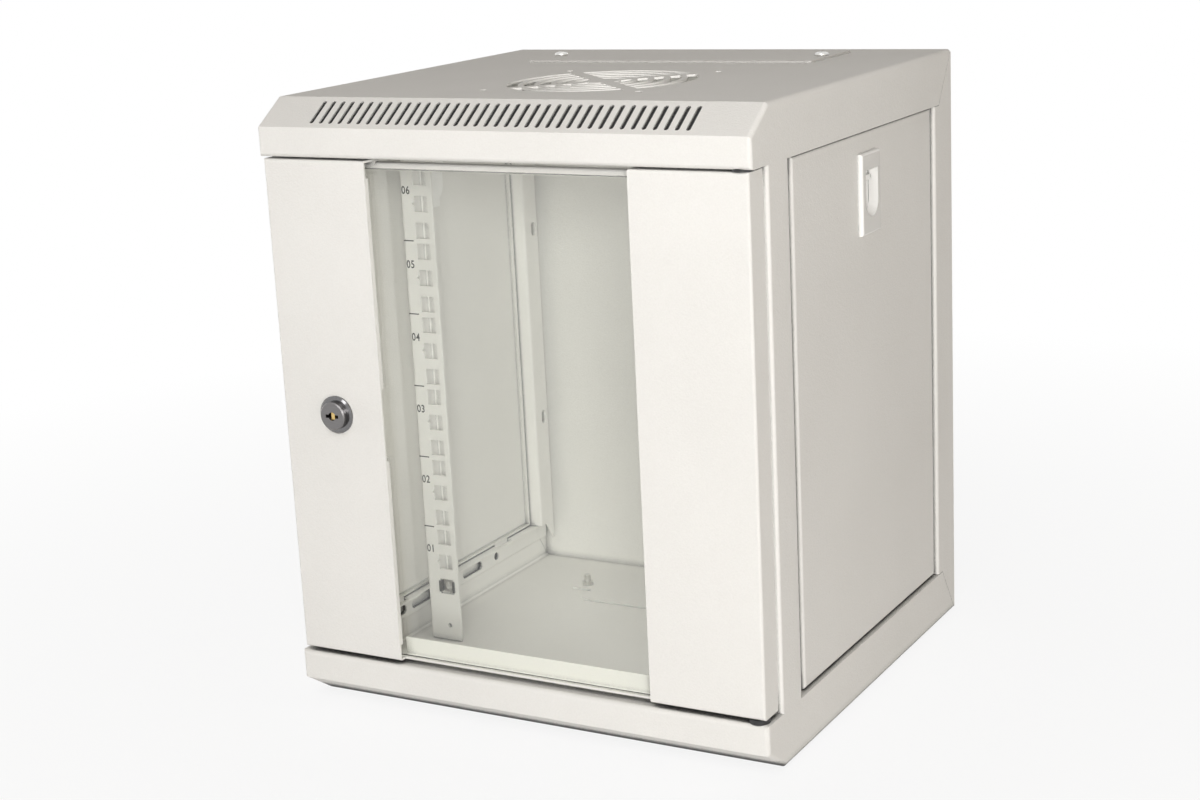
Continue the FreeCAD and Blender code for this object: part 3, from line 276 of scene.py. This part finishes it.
# %% Zinc and spring steel
def make_metal(name, patches, dark, light, smoothest, rougher, relief=None, depth=0.02 * MM):
    """A metal that goes from dark and smooth to light and rougher as its patches go from 0 to 1.

    patches and relief are what Finish.noise is told, and depth is how far the relief stands."""
    metal = Finish(name)
    patch = metal.noise(**patches)
    lift = metal.noise(**relief) if relief else patch
    return metal.done(metal.shader(Base_Color=metal.between(patch, dark, light), Metallic=1.0,
                                   Roughness=smoothest + rougher * patch,
                                   Normal=metal.bump(lift, depth)))


zinc_steel = make_metal("zinc_steel", {"size": 4 * MM, "detail": 3},
                        rgb(0.60, 0.60, 0.61), rgb(0.78, 0.77, 0.71), 0.24, 0.22,
                        relief={"size": 0.6 * MM, "stretch": (1, 1, 6)})
spring_steel = make_metal("spring_steel", {"size": 3 * MM, "detail": 3},
                          rgb(0.10, 0.10, 0.105), rgb(0.22, 0.215, 0.20), 0.26, 0.20)
print("made", zinc_steel.name, spring_steel.name)

# %% [markdown]
# ## The lock's chrome and brass
#
# The bezel is chromed die-cast zinc. Chrome is almost a mirror, and what breaks the mirror is a
# very slight waviness of the casting under it. The plug's face is plated too but brushed, so its
# noise is stretched into long fine lines and it reflects only a blur. The wafer in the keyway is
# brass. The bezel's and the plug face's colours are far darker than plated metal's own: a painted
# reflection of dark surroundings.

# %% Chrome, brushed plug face and brass
# painted reflection: the dark colours of the chrome and the plug face stand in for dark
# surroundings
chrome = make_metal("chrome", {"size": 0.9 * MM},
                    rgb(0.15, 0.148, 0.15), rgb(0.24, 0.236, 0.24), 0.08, 0.08,
                    relief={"size": 6 * MM, "detail": 1}, depth=0.12 * MM)
brushed_plug = make_metal("brushed_plug", {"size": 1.2 * MM, "detail": 3, "stretch": (0.25, 1, 5)},
                          rgb(0.17, 0.165, 0.165), rgb(0.26, 0.25, 0.248), 0.30, 0.14)
brass = make_metal("brass", {"size": 1.5 * MM, "detail": 3},
                   rgb(0.62, 0.42, 0.14), rgb(0.86, 0.66, 0.30), 0.22, 0.25)
print("made", chrome.name, brushed_plug.name, brass.name)

# %% [markdown]
# ## Plastics and rubber
#
# The hinge bushes are black nylon. The strips that seat the glass are foam rubber, whose pores
# are larger and deeper, so light barely glances off them.
#
# The panel latches are moulded in a grey near the coat's, a little smoother than it and with the
# fine spark-eroded grain that a mould leaves. Their flat face is darker than the rim round it and
# the tub for the finger. The flat face is the only part of a latch that lies as far out as 149
# mm, so the distance from the cabinet's middle plane tells it from the rest.

# %% Nylon and foam rubber
def make_moulded(name, dark, light, smoothest, grain_size, grain_depth):
    """A plastic whose grain and slow sink marks move its colour from dark to light."""
    plastic = Finish(name)
    grain = plastic.noise(grain_size)
    sink = plastic.noise(20 * MM, detail=1)
    colour = plastic.between(grain * 0.5 + sink * 0.5, dark, light)
    return plastic.done(plastic.shader(Base_Color=colour, Roughness=smoothest + 0.14 * grain,
                                       Normal=plastic.bump(grain, grain_depth)))


black_nylon = make_moulded("black_nylon", rgb(0.016, 0.016, 0.017), rgb(0.032, 0.032, 0.033),
                           smoothest=0.38, grain_size=0.5 * MM, grain_depth=0.03 * MM)
foam_rubber = make_moulded("foam_rubber", rgb(0.022, 0.022, 0.023), rgb(0.055, 0.054, 0.053),
                           smoothest=0.74, grain_size=0.9 * MM, grain_depth=0.18 * MM)
print("made", black_nylon.name, foam_rubber.name)

# %% Latch plastic
FACE_X = 148.9 * MM
LATCH_GAP_REACH = 3 * MM


def make_latch_plastic():
    """The flat face, outside FACE_X, darker than the rim and the tub, which lie inside it."""
    latch = Finish("grey_plastic")
    grain = latch.noise(0.4 * MM)
    across = latch.node("ShaderNodeSeparateXYZ", {}, {"Vector": latch.place}, output="X")
    from_middle = latch.node("ShaderNodeMath", {"operation": "ABSOLUTE"}, {0: across})
    inside = latch.node("ShaderNodeMath", {"operation": "LESS_THAN"}, {0: from_middle, 1: FACE_X})
    face = latch.between(grain, rgb(0.700, 0.685, 0.652), rgb(0.750, 0.735, 0.702))
    tub = latch.between(grain, rgb(0.930, 0.922, 0.900), rgb(0.965, 0.958, 0.940))
    # painted shade: the colour is darkened in the latch's narrowest gaps
    colour = latch.paint_shade_in_gaps(latch.between(inside, face, tub), LATCH_GAP_REACH)
    return latch.done(latch.shader(Base_Color=colour, Roughness=0.30 + 0.14 * grain,
                                   Normal=latch.bump(grain, 0.02 * MM)))


grey_plastic = make_latch_plastic()
print("made", grey_plastic.name)

# %% [markdown]
# ## Glass that lets the lamps in
#
# The door's pane is 4 mm of clear tempered glass, which is faintly green. A refracting shader
# alone would leave the inside of the cabinet dark, because the renderer doesn't follow a lamp's
# light through a bend. So for rays that look for a lamp, and for light bounced off a matt
# surface, the same pane is a plain see-through sheet of the same tint. A little haze in the
# roughness stands for the film that any pane picks up.

# %% Glass
GLASS_IOR = 1.55


def make_glass():
    """Refracting glass, but a see-through sheet for rays to a lamp and for bounced light."""
    pane = Finish("clear_glass")
    tint = rgb(0.990, 0.998, 0.975)
    haze = pane.noise(90 * MM, detail=3)
    glass = pane.shader(Base_Color=tint, Roughness=0.001 * haze, IOR=GLASS_IOR,
                        Transmission_Weight=1.0)
    sheet = pane.node("ShaderNodeBsdfTransparent", {}, {"Color": tint})
    unbent = pane.either(pane.ray("Shadow"), pane.ray("Diffuse"))
    return pane.done(pane.mixed_shader(unbent, glass, sheet))


clear_glass = make_glass()
print("made", clear_glass.name)

# %% [markdown]
# ## Which part wears which finish
#
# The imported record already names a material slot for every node, so one table from slot to finish
# dresses the whole cabinet. Three nodes are exceptions. The lock's plug is in the slot for
# chrome, as the bezel is, but its face is brushed, and the door and the roof cover have coats of
# their own.

# %% Dress the nodes
finish_of_slot = {
    "powder_coat": powder_coat, "zinc_steel": zinc_steel, "spring_steel": spring_steel,
    "clear_glass": clear_glass, "chrome": chrome, "brass": brass, "gasket_rubber": foam_rubber,
    "black_plastic": black_nylon, "grey_plastic": grey_plastic,
}
slot_of_node = {part["node"]: part["material_slot"] for part in frame["record"]["subparts"]}


def dress(piece, finish):
    """Make this finish the piece's only one."""
    piece.data.materials.clear()
    piece.data.materials.append(finish)


for name, part in nodes.items():
    dress(part, finish_of_slot[slot_of_node[name]])
dress(nodes["lock_plug"], brushed_plug)
dress(nodes["door_frame"], door_coat)
dress(nodes["top_cover"], cover_coat)
print("dressed", len(nodes), "nodes")

# %% [markdown]
# ## Screws with a real head
#
# The model's screws are plain cylinders. Real pan-head screws have a rounded head with a cross
# recess, and they sit where the eye goes: on the roof plate and on the rails' feet. A screw is a
# turned part, so its surface is a profile of radius against height, carried round an axis. The
# recess isn't round, so afterwards the top of the head is pushed down wherever a point lies
# within the arms of a cross.

# %% A surface turned round an axis
def turned_points(radius, height, turns):
    """Point (i, j) is radius[i] * (cos a, sin a) at height[i], with a = 2 pi j / turns.

    These are rings only: the caller adds the two poles, where the radius is nought."""
    angle = np.arange(turns) * (2 * np.pi / turns)
    x = radius[:, None] * np.cos(angle)[None, :]
    y = radius[:, None] * np.sin(angle)[None, :]
    z = np.repeat(height[:, None], turns, axis=1)
    return np.stack([x, y, z], axis=-1)


def turned_faces(rings, turns):
    """Quads between neighbouring rings, and a fan of triangles to a pole at each end.

    Ring i holds points i * turns onwards; the two poles follow the last ring."""
    j = np.arange(turns)
    after = (j + 1) % turns
    i = np.arange(rings - 1)[:, None] * turns
    quads = np.stack([i + j, i + turns + j, i + turns + after, i + after], axis=-1).reshape(-1, 4)
    first, last = rings * turns, rings * turns + 1
    top = np.stack([np.full(turns, first), j, after], axis=-1)
    base = (rings - 1) * turns
    bottom = np.stack([np.full(turns, last), base + after, base + j], axis=-1)
    return quads.tolist() + top.tolist() + bottom.tolist()


def shifted(faces, start):
    """The same faces on points that are counted from start."""
    return [[corner + start for corner in face] for face in faces]


def mesh_piece(name, points, faces, finish):
    """An object at the origin whose place is in its mesh. The faces given point outwards."""
    mesh = bpy.data.meshes.new(name)
    mesh.from_pydata(points.tolist(), [], faces)
    mesh.update()
    mesh.materials.append(finish)
    piece = bpy.data.objects.new(name, mesh)
    bpy.context.scene.collection.objects.link(piece)
    return piece


# %% [markdown]
# The recess is a plus sign with sloping walls. Its depth at a point is worked out from two
# distances: how far the point lies from the nearer arm's centre line, and how far along the arm
# it is. Both run through a smooth step, and their product is 1 deep inside the cross and 0
# outside it.

# %% The screw
HEAD_RINGS = 26
TURNS = 96

# shares of the head's radius and height
INNER_RING = 0.03                   # radius of the smallest ring, next to the pole
DOME_BASE, DOME_OUT = 0.42, 0.96    # where the dome's ellipse stands, and how far it is used
BEVEL_R, BEVEL_H = 0.97, 0.06       # the bevel under the head
RECESS_REACH, RECESS_DEPTH = 0.62, 0.62

# shares of the recess's reach
ARM_FLOOR, ARM_LIP = 0.16, 0.30     # half width of an arm at its floor and at its lip
ARM_END = 0.70                      # where an arm's floor ends

# shares of the shank's radius and length
TIP_R, TIP_START = 0.80, 0.94


def smooth_step(value, low, high):
    """0 below low, 1 above high, and between them t * t * (3 - 2 t) of the way t."""
    t = np.clip((value - low) / (high - low), 0, 1)
    return t * t * (3 - 2 * t)


def cross_recess(x, y, reach):
    """1 inside the arms of a cross of the given reach, 0 outside."""
    across = np.minimum(np.abs(x), np.abs(y))
    along = np.maximum(np.abs(x), np.abs(y))
    in_arm = 1 - smooth_step(across, reach * ARM_FLOOR, reach * ARM_LIP)
    near = 1 - smooth_step(along, reach * ARM_END, reach)
    return in_arm * near


def screw_surface(head_r, head_h, shank_r, shank_l):
    """Domed head above height 0, shank below it, cross recess in the dome.

    The dome is an ellipse: its height is DOME_BASE of the head's height and then the rest of it
    times the root of 1 - DOME_OUT * (r / head_r) squared."""
    dome_r = head_r * np.linspace(INNER_RING, 1, HEAD_RINGS)
    arch = np.sqrt(1 - DOME_OUT * (dome_r / head_r) ** 2)
    dome_h = head_h * (DOME_BASE + (1 - DOME_BASE) * arch)
    below_r = [head_r, head_r * BEVEL_R, shank_r, shank_r, shank_r * TIP_R]
    below_h = [head_h * BEVEL_H, 0, 0, -shank_l * TIP_START, -shank_l]
    rings = turned_points(np.append(dome_r, below_r), np.append(dome_h, below_h), TURNS)
    top = rings[:HEAD_RINGS]
    top[..., 2] -= head_h * RECESS_DEPTH * cross_recess(top[..., 0], top[..., 1],
                                                        head_r * RECESS_REACH)
    poles = np.array([[0, 0, rings[0, :, 2].mean()], [0, 0, -shank_l]])
    points = np.concatenate([rings.reshape(-1, 3), poles])
    return points, turned_faces(len(rings), TURNS)


def turn_and_place(points, axis, at, twist):
    """points turned so that their height runs along axis, twisted about it, and moved to at."""
    spin = Matrix.Rotation(twist, 3, "Z")
    lean = Vector(axis).to_track_quat("Z", "Y").to_matrix()
    return points @ np.array(lean @ spin).T + np.array(at)


print("a screw's head has", HEAD_RINGS, "rings of", TURNS, "points")

# %% [markdown]
# Each of three nodes of the model holds two screws of the same size. Where they are, how wide the
# heads are and how long the shanks are all follows from the node's box, once the axis is known:
# the box is as wide as a head across the axis, and the two screws stand at its two ends. They are
# tight at different angles, so the second is twisted further than the first.

# %% Replace the plain screws
FIRST_TWIST, NEXT_TWIST = 0.35, 1.1         # radians


def screws_for(name, axis, head_h, shank_r, body):
    """Two screws with cross recesses in the place of the CAD node, heads towards axis."""
    low, high = (np.array(corner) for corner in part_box(name))
    along = int(np.argmax(np.abs(axis)))
    sideways = [k for k in range(3) if k != along]
    widths = (high - low)[sideways]
    head_r = widths.min() / 2
    spread = sideways[int(np.argmax(widths))]
    points, faces = screw_surface(head_r, head_h, shank_r, (high - low)[along] - head_h)
    placed, joined = [], []
    for k, place in enumerate((low[spread] + head_r, high[spread] - head_r)):
        at = (low + high) / 2
        at[spread] = place
        at[along] = high[along] - head_h if axis[along] > 0 else low[along] + head_h
        placed.append(turn_and_place(points, axis, at, FIRST_TWIST + NEXT_TWIST * k))
        joined += shifted(faces, k * len(points))
    piece = mesh_piece(name + "_heads", np.concatenate(placed), joined, zinc_steel)
    piece.data.polygons.foreach_set("use_smooth", np.ones(len(piece.data.polygons), bool))
    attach(piece, body)
    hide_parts(name)
    print(name, "screws", len(placed), "head radius mm", round(head_r / MM, 2))


screws_for("top_plate_screws", (0, 0, 1), head_h=2.4 * MM, shank_r=2.0 * MM, body="frame")
screws_for("rail_bolts_right", (-1, 0, 0), head_h=2.6 * MM, shank_r=2.5 * MM, body="rail_right")
screws_for("rail_bolts_left", (1, 0, 0), head_h=2.6 * MM, shank_r=2.5 * MM, body="rail_left")

# %% [markdown]
# ## Unit numbers on the rails
#
# A rail for rack equipment is marked in units of 44.45 mm: a short line where one unit ends and
# the next begins, and the unit's number beside the holes, a little above the middle one. They are
# pad printed, so here they are thin flat shapes a few hundredths of a millimetre proud of the
# coat. A text object gives the digits, and it is turned into a mesh before it is moved, so that
# its place is in the mesh as for every piece.

# %% Ink
def make_ink():
    """Black ink, worn a little paler and rougher in places."""
    ink = Finish("printed_ink")
    wear = ink.noise(0.8 * MM, detail=3)
    colour = ink.between(wear, rgb(0.012, 0.012, 0.013), rgb(0.040, 0.039, 0.038))
    return ink.done(ink.shader(Base_Color=colour, Roughness=0.46 + 0.2 * wear,
                               Normal=ink.bump(wear, 0.01 * MM)))


printed_ink = make_ink()
print("made", printed_ink.name)

# %% Digits and unit lines
UNIT = 44.45 * MM
UNITS = 6
DIGIT_H = 4.6 * MM
DIGIT_SHARE = 0.7               # how tall a digit is, as a share of the font's size
DIGIT_WIDTH = 0.82              # how wide it is, as a share of the font's own width
SPACING = 1.12                  # from digit to digit, as a share of the font's own step
BOLDER = 0.10 * MM              # how far a digit's outline is moved out
NUMBER_IN = 4.3 * MM            # from the rail's outer edge to the middle of a number
NUMBER_UP = 0.675               # from a unit's lower end to the number, in units
LINE_IN = 4.2 * MM              # from the rail's outer edge to the middle of a line
LINE_HALF = np.array([3.5 * MM, 0.34 * MM, 0])
INK_T = 0.04 * MM
SQUARE = np.array([[-1, -1, 0], [1, -1, 0], [1, 1, 0], [-1, 1, 0]])
rack_middle = next(m for m in frame["record"]["mounts"] if m["name"] == "rack_face")["pos_m"]
lowest_unit = rack_middle[2] - UNITS / 2 * UNIT


def number_mesh(text):
    """The text as a flat mesh in the XY plane, DIGIT_H tall and centred on the origin."""
    curve = bpy.data.curves.new("number", "FONT")
    curve.body = text
    curve.size = DIGIT_H / DIGIT_SHARE
    curve.align_x = "CENTER"
    curve.align_y = "CENTER"
    curve.space_character = SPACING
    curve.offset = BOLDER
    words = bpy.data.objects.new("number", curve)
    bpy.context.scene.collection.objects.link(words)
    bpy.context.view_layer.update()
    mesh = bpy.data.meshes.new_from_object(words)
    points = np.zeros(len(mesh.vertices) * 3)
    mesh.vertices.foreach_get("co", points)
    faces = [list(face.vertices) for face in mesh.polygons]
    bpy.data.objects.remove(words)
    return points.reshape(-1, 3) * np.array([DIGIT_WIDTH, 1, 1]), faces


def thicken(piece, thickness):
    """Give a flat piece its thickness, behind its faces."""
    solid = piece.modifiers.new("thickness", "SOLIDIFY")
    solid.thickness = thickness
    solid.offset = -1


def unit_marks(rail, body, side):
    """Numbers and lines on a rail's front face; side is -1 on the left and 1 on the right."""
    low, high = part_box(rail)
    outer = low.x if side < 0 else high.x
    points, faces = [], []

    def add(flat, flat_faces, x, z):
        """Stand a shape from the XY plane up on the rail's face, with its middle at x and z."""
        faces.extend(shifted(flat_faces, sum(len(shape) for shape in points)))
        y = np.full(len(flat), low.y - INK_T)
        points.append(np.stack([x + flat[:, 0], y, z + flat[:, 1]], axis=1))

    for unit in range(UNITS):
        digits, digit_faces = number_mesh(f"{unit + 1:02d}")
        add(digits, digit_faces, outer - side * NUMBER_IN, lowest_unit + (unit + NUMBER_UP) * UNIT)
        if unit:
            add(SQUARE * LINE_HALF, [[0, 1, 2, 3]], outer - side * LINE_IN,
                lowest_unit + unit * UNIT)
    piece = mesh_piece(rail + "_marks", np.concatenate(points), faces, printed_ink)
    thicken(piece, INK_T)
    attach(piece, body)
    print(rail, "marks", len(faces), "faces")


unit_marks("mounting_rail_left", "rail_left", -1)
unit_marks("mounting_rail_right", "rail_right", 1)

# %% [markdown]
# ## Painted shade behind the vent slots
#
# A row of slanting slots runs along the roof's sloping front edge. A thin black strip lies
# against the inside of that slope as painted shade, so the slots look dark. It is a flat grid
# whose two parameters run along the roof and up the slope, and Solidify gives it its thickness.

# %% Painted shade strip
SLOPE_RUN, SLOPE_RISE = 21 * MM, 14 * MM
SHEET = 1.2 * MM
SHADE_STRIP_T = 1.2 * MM
SHADE_STRIP_GAP = 0.4 * MM
SHADE_STRIP_HALF_W = 117 * MM
SHADE_STRIP_FROM, SHADE_STRIP_TO = 2.6 * MM, 22.6 * MM        # up the slope from its lower crease
SHADE_STRIP_COLUMNS, SHADE_STRIP_ROWS = 40, 5


def shade_strip_points(across, along):
    """Point (i, j) is across[i] to the side, along[j] up the slope and SHADE_STRIP_GAP under it."""
    low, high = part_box("top_cover")
    crease = np.array([0, low.y, high.z - SLOPE_RISE])
    slope = np.array([0, SLOPE_RUN, SLOPE_RISE]) / math.hypot(SLOPE_RUN, SLOPE_RISE)
    inwards = np.array([0, slope[2], -slope[1]])
    start = crease + inwards * (SHEET + SHADE_STRIP_GAP)
    side = np.array([1, 0, 0])
    return start + across[:, None, None] * side + along[None, :, None] * slope


grid = shade_strip_points(np.linspace(-SHADE_STRIP_HALF_W, SHADE_STRIP_HALF_W, SHADE_STRIP_COLUMNS),
                     np.linspace(SHADE_STRIP_FROM, SHADE_STRIP_TO, SHADE_STRIP_ROWS))
corner = np.arange(SHADE_STRIP_COLUMNS - 1)[:, None] * SHADE_STRIP_ROWS + np.arange(SHADE_STRIP_ROWS - 1)
quads = np.stack([corner, corner + SHADE_STRIP_ROWS, corner + SHADE_STRIP_ROWS + 1, corner + 1], axis=-1)
shade_strip_faces = quads.reshape(-1, 4).tolist()
# painted shade: a dark strip that stands for the shade under the roof's slope
painted_shade_strip = mesh_piece("painted_shade_strip", grid.reshape(-1, 3), shade_strip_faces, foam_rubber)
thicken(painted_shade_strip, SHADE_STRIP_T)
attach(painted_shade_strip, "frame")
print("filter strip", len(shade_strip_faces), "faces")

# %% [markdown]
# ## Floor and background
#
# The cabinet stands on a plain white table. What is behind it is white too, and that is set by
# the colour that the camera sees and not by more light, so the coat keeps its own tone. The floor
# is a matt sheet that glows for the camera and for reflections, a little less near the cabinet, so
# it comes out white and a soft shadow under the cabinet stays. The light that the world itself
# gives is weak and warm, as from the walls of a room.

# %% Floor
FLOOR_HALF = 6.0
FLOOR_DROP = 0.2 * MM           # below the cabinet's underside, so that the two don't flicker
NEAR_GLOW = 0.86


def make_floor():
    """Matt white paper, of which the camera and reflections see mostly the glow."""
    paper = Finish("floor_paper")
    fibre = paper.noise(50 * MM, detail=3)
    white = paper.between(fibre, rgb(0.80, 0.80, 0.80), rgb(0.82, 0.82, 0.82))
    matt = paper.shader(Base_Color=white, Roughness=0.9)
    glow = paper.node("ShaderNodeEmission", {}, {"Color": rgb(1, 1, 1), "Strength": 1.0})
    seen = paper.ray("Camera") + paper.ray("Glossy") + paper.ray("Transmission")
    away = paper.node("ShaderNodeVectorMath", {"operation": "LENGTH"}, {0: paper.place},
                      output="Value")
    # NEAR_GLOW of the glow within 0.24 m of the middle, and all of it from 0.9 m on
    share = seen * paper.steps(away * 0.5, [(0.12, NEAR_GLOW), (0.45, 1.0)])
    return paper.done(paper.mixed_shader(share, matt, glow))


floor = mesh_piece("floor", SQUARE * FLOOR_HALF - np.array([0, 0, FLOOR_DROP]), [[0, 1, 2, 3]],
                   make_floor())
print("floor", 2 * FLOOR_HALF, "m wide")

# %% Background
world = bpy.data.worlds.new("studio")
bpy.context.scene.world = world
sky = Network(world)
shown = sky.either(sky.either(sky.ray("Camera"), sky.ray("Glossy")), sky.ray("Transmission"))
light = sky.node("ShaderNodeBackground", {}, {"Color": rgb(1.0, 0.91, 0.80), "Strength": 0.19})
white = sky.node("ShaderNodeBackground", {}, {"Color": rgb(1, 1, 1), "Strength": 1.0})
sky.end("ShaderNodeOutputWorld", sky.mixed_shader(shown, light, white))
print("background", world.name)

# %% [markdown]
# ## Lamps
#
# Area lamps, as in a product studio. The key stands beside the camera and makes the front the
# brightest side. A weak warm one stands to the right for the side panel, and a large one high in
# front for the roof. Two long low ones light the back and the left side. Little of all this gets
# inside, so a thin strip stands upright behind the door's right column. The camera, the glass and
# reflections don't show it.

# %% Lamps
def soft_box(name, at, aim, size, watts, colour=(1, 1, 1)):
    """A rectangular lamp of this width and height in metres, at one point and aimed at another."""
    lamp = bpy.data.lights.new(name, "AREA")
    lamp.shape = "RECTANGLE"
    lamp.size, lamp.size_y = size
    lamp.energy = watts
    lamp.color = colour
    holder = bpy.data.objects.new(name, lamp)
    holder.location = at
    holder.rotation_euler = (Vector(aim) - Vector(at)).to_track_quat("-Z", "Y").to_euler()
    bpy.context.scene.collection.objects.link(holder)
    return holder


middle = (Vector(cad_box[0]) + Vector(cad_box[1])) / 2
WARM = (1.0, 0.9, 0.76)
soft_box("key", (0.974, -1.688, 0.62), middle, (0.45, 0.45), watts=18.5)
soft_box("side", (1.787, -0.796, 0.586), middle, (0.6, 0.6), watts=3, colour=WARM)
soft_box("high", (0.294, -1.383, 1.584), middle, (0.8, 0.8), watts=9)
strip = soft_box("strip", (0.086, -0.105, 0.195), (-0.06, 0.14, 0.19), (0.02, 0.22), watts=0.11)
strip.visible_camera = strip.visible_transmission = strip.visible_glossy = False
soft_box("behind", (-0.5, 2.0, 0.19), middle, (1.4, 0.3), watts=14)
soft_box("left", (-2.0, -0.1, 0.19), middle, (1.4, 0.3), watts=12)
print("lamps aimed at", [round(v, 3) for v in middle])

# %% [markdown]
# ## Camera
#
# The camera stands in front and to the right, a little above the roof and 1.2 m from the cabinet.
# It looks down at the door through a 63 mm lens, and it is rolled by about three degrees.

# %% Camera
CAMERA_AT = Vector((0.5736, -1.0451, 0.4638))
YAW = math.radians(-29.59)
PITCH = math.radians(-14.35)
ROLL = math.radians(-2.86)
LENS = 62.9
SENSOR_W = 36

forward = Vector((math.sin(YAW) * math.cos(PITCH), math.cos(YAW) * math.cos(PITCH),
                  math.sin(PITCH)))
level = Vector((math.cos(YAW), -math.sin(YAW), 0))
upward = level.cross(forward)
right = level * math.cos(ROLL) + upward * math.sin(ROLL)
up = upward * math.cos(ROLL) - level * math.sin(ROLL)

camera_data = bpy.data.cameras.new("camera")
camera_data.lens = LENS
camera_data.sensor_width = SENSOR_W
camera = bpy.data.objects.new("camera", camera_data)
turn = Matrix((right, up, -forward)).transposed()
camera.matrix_world = Matrix.Translation(CAMERA_AT) @ turn.to_4x4()
bpy.context.scene.collection.objects.link(camera)
bpy.context.scene.camera = camera
bpy.context.scene.view_settings.view_transform = "Standard"
print("camera", round((CAMERA_AT - middle).length, 2), "m from the middle")
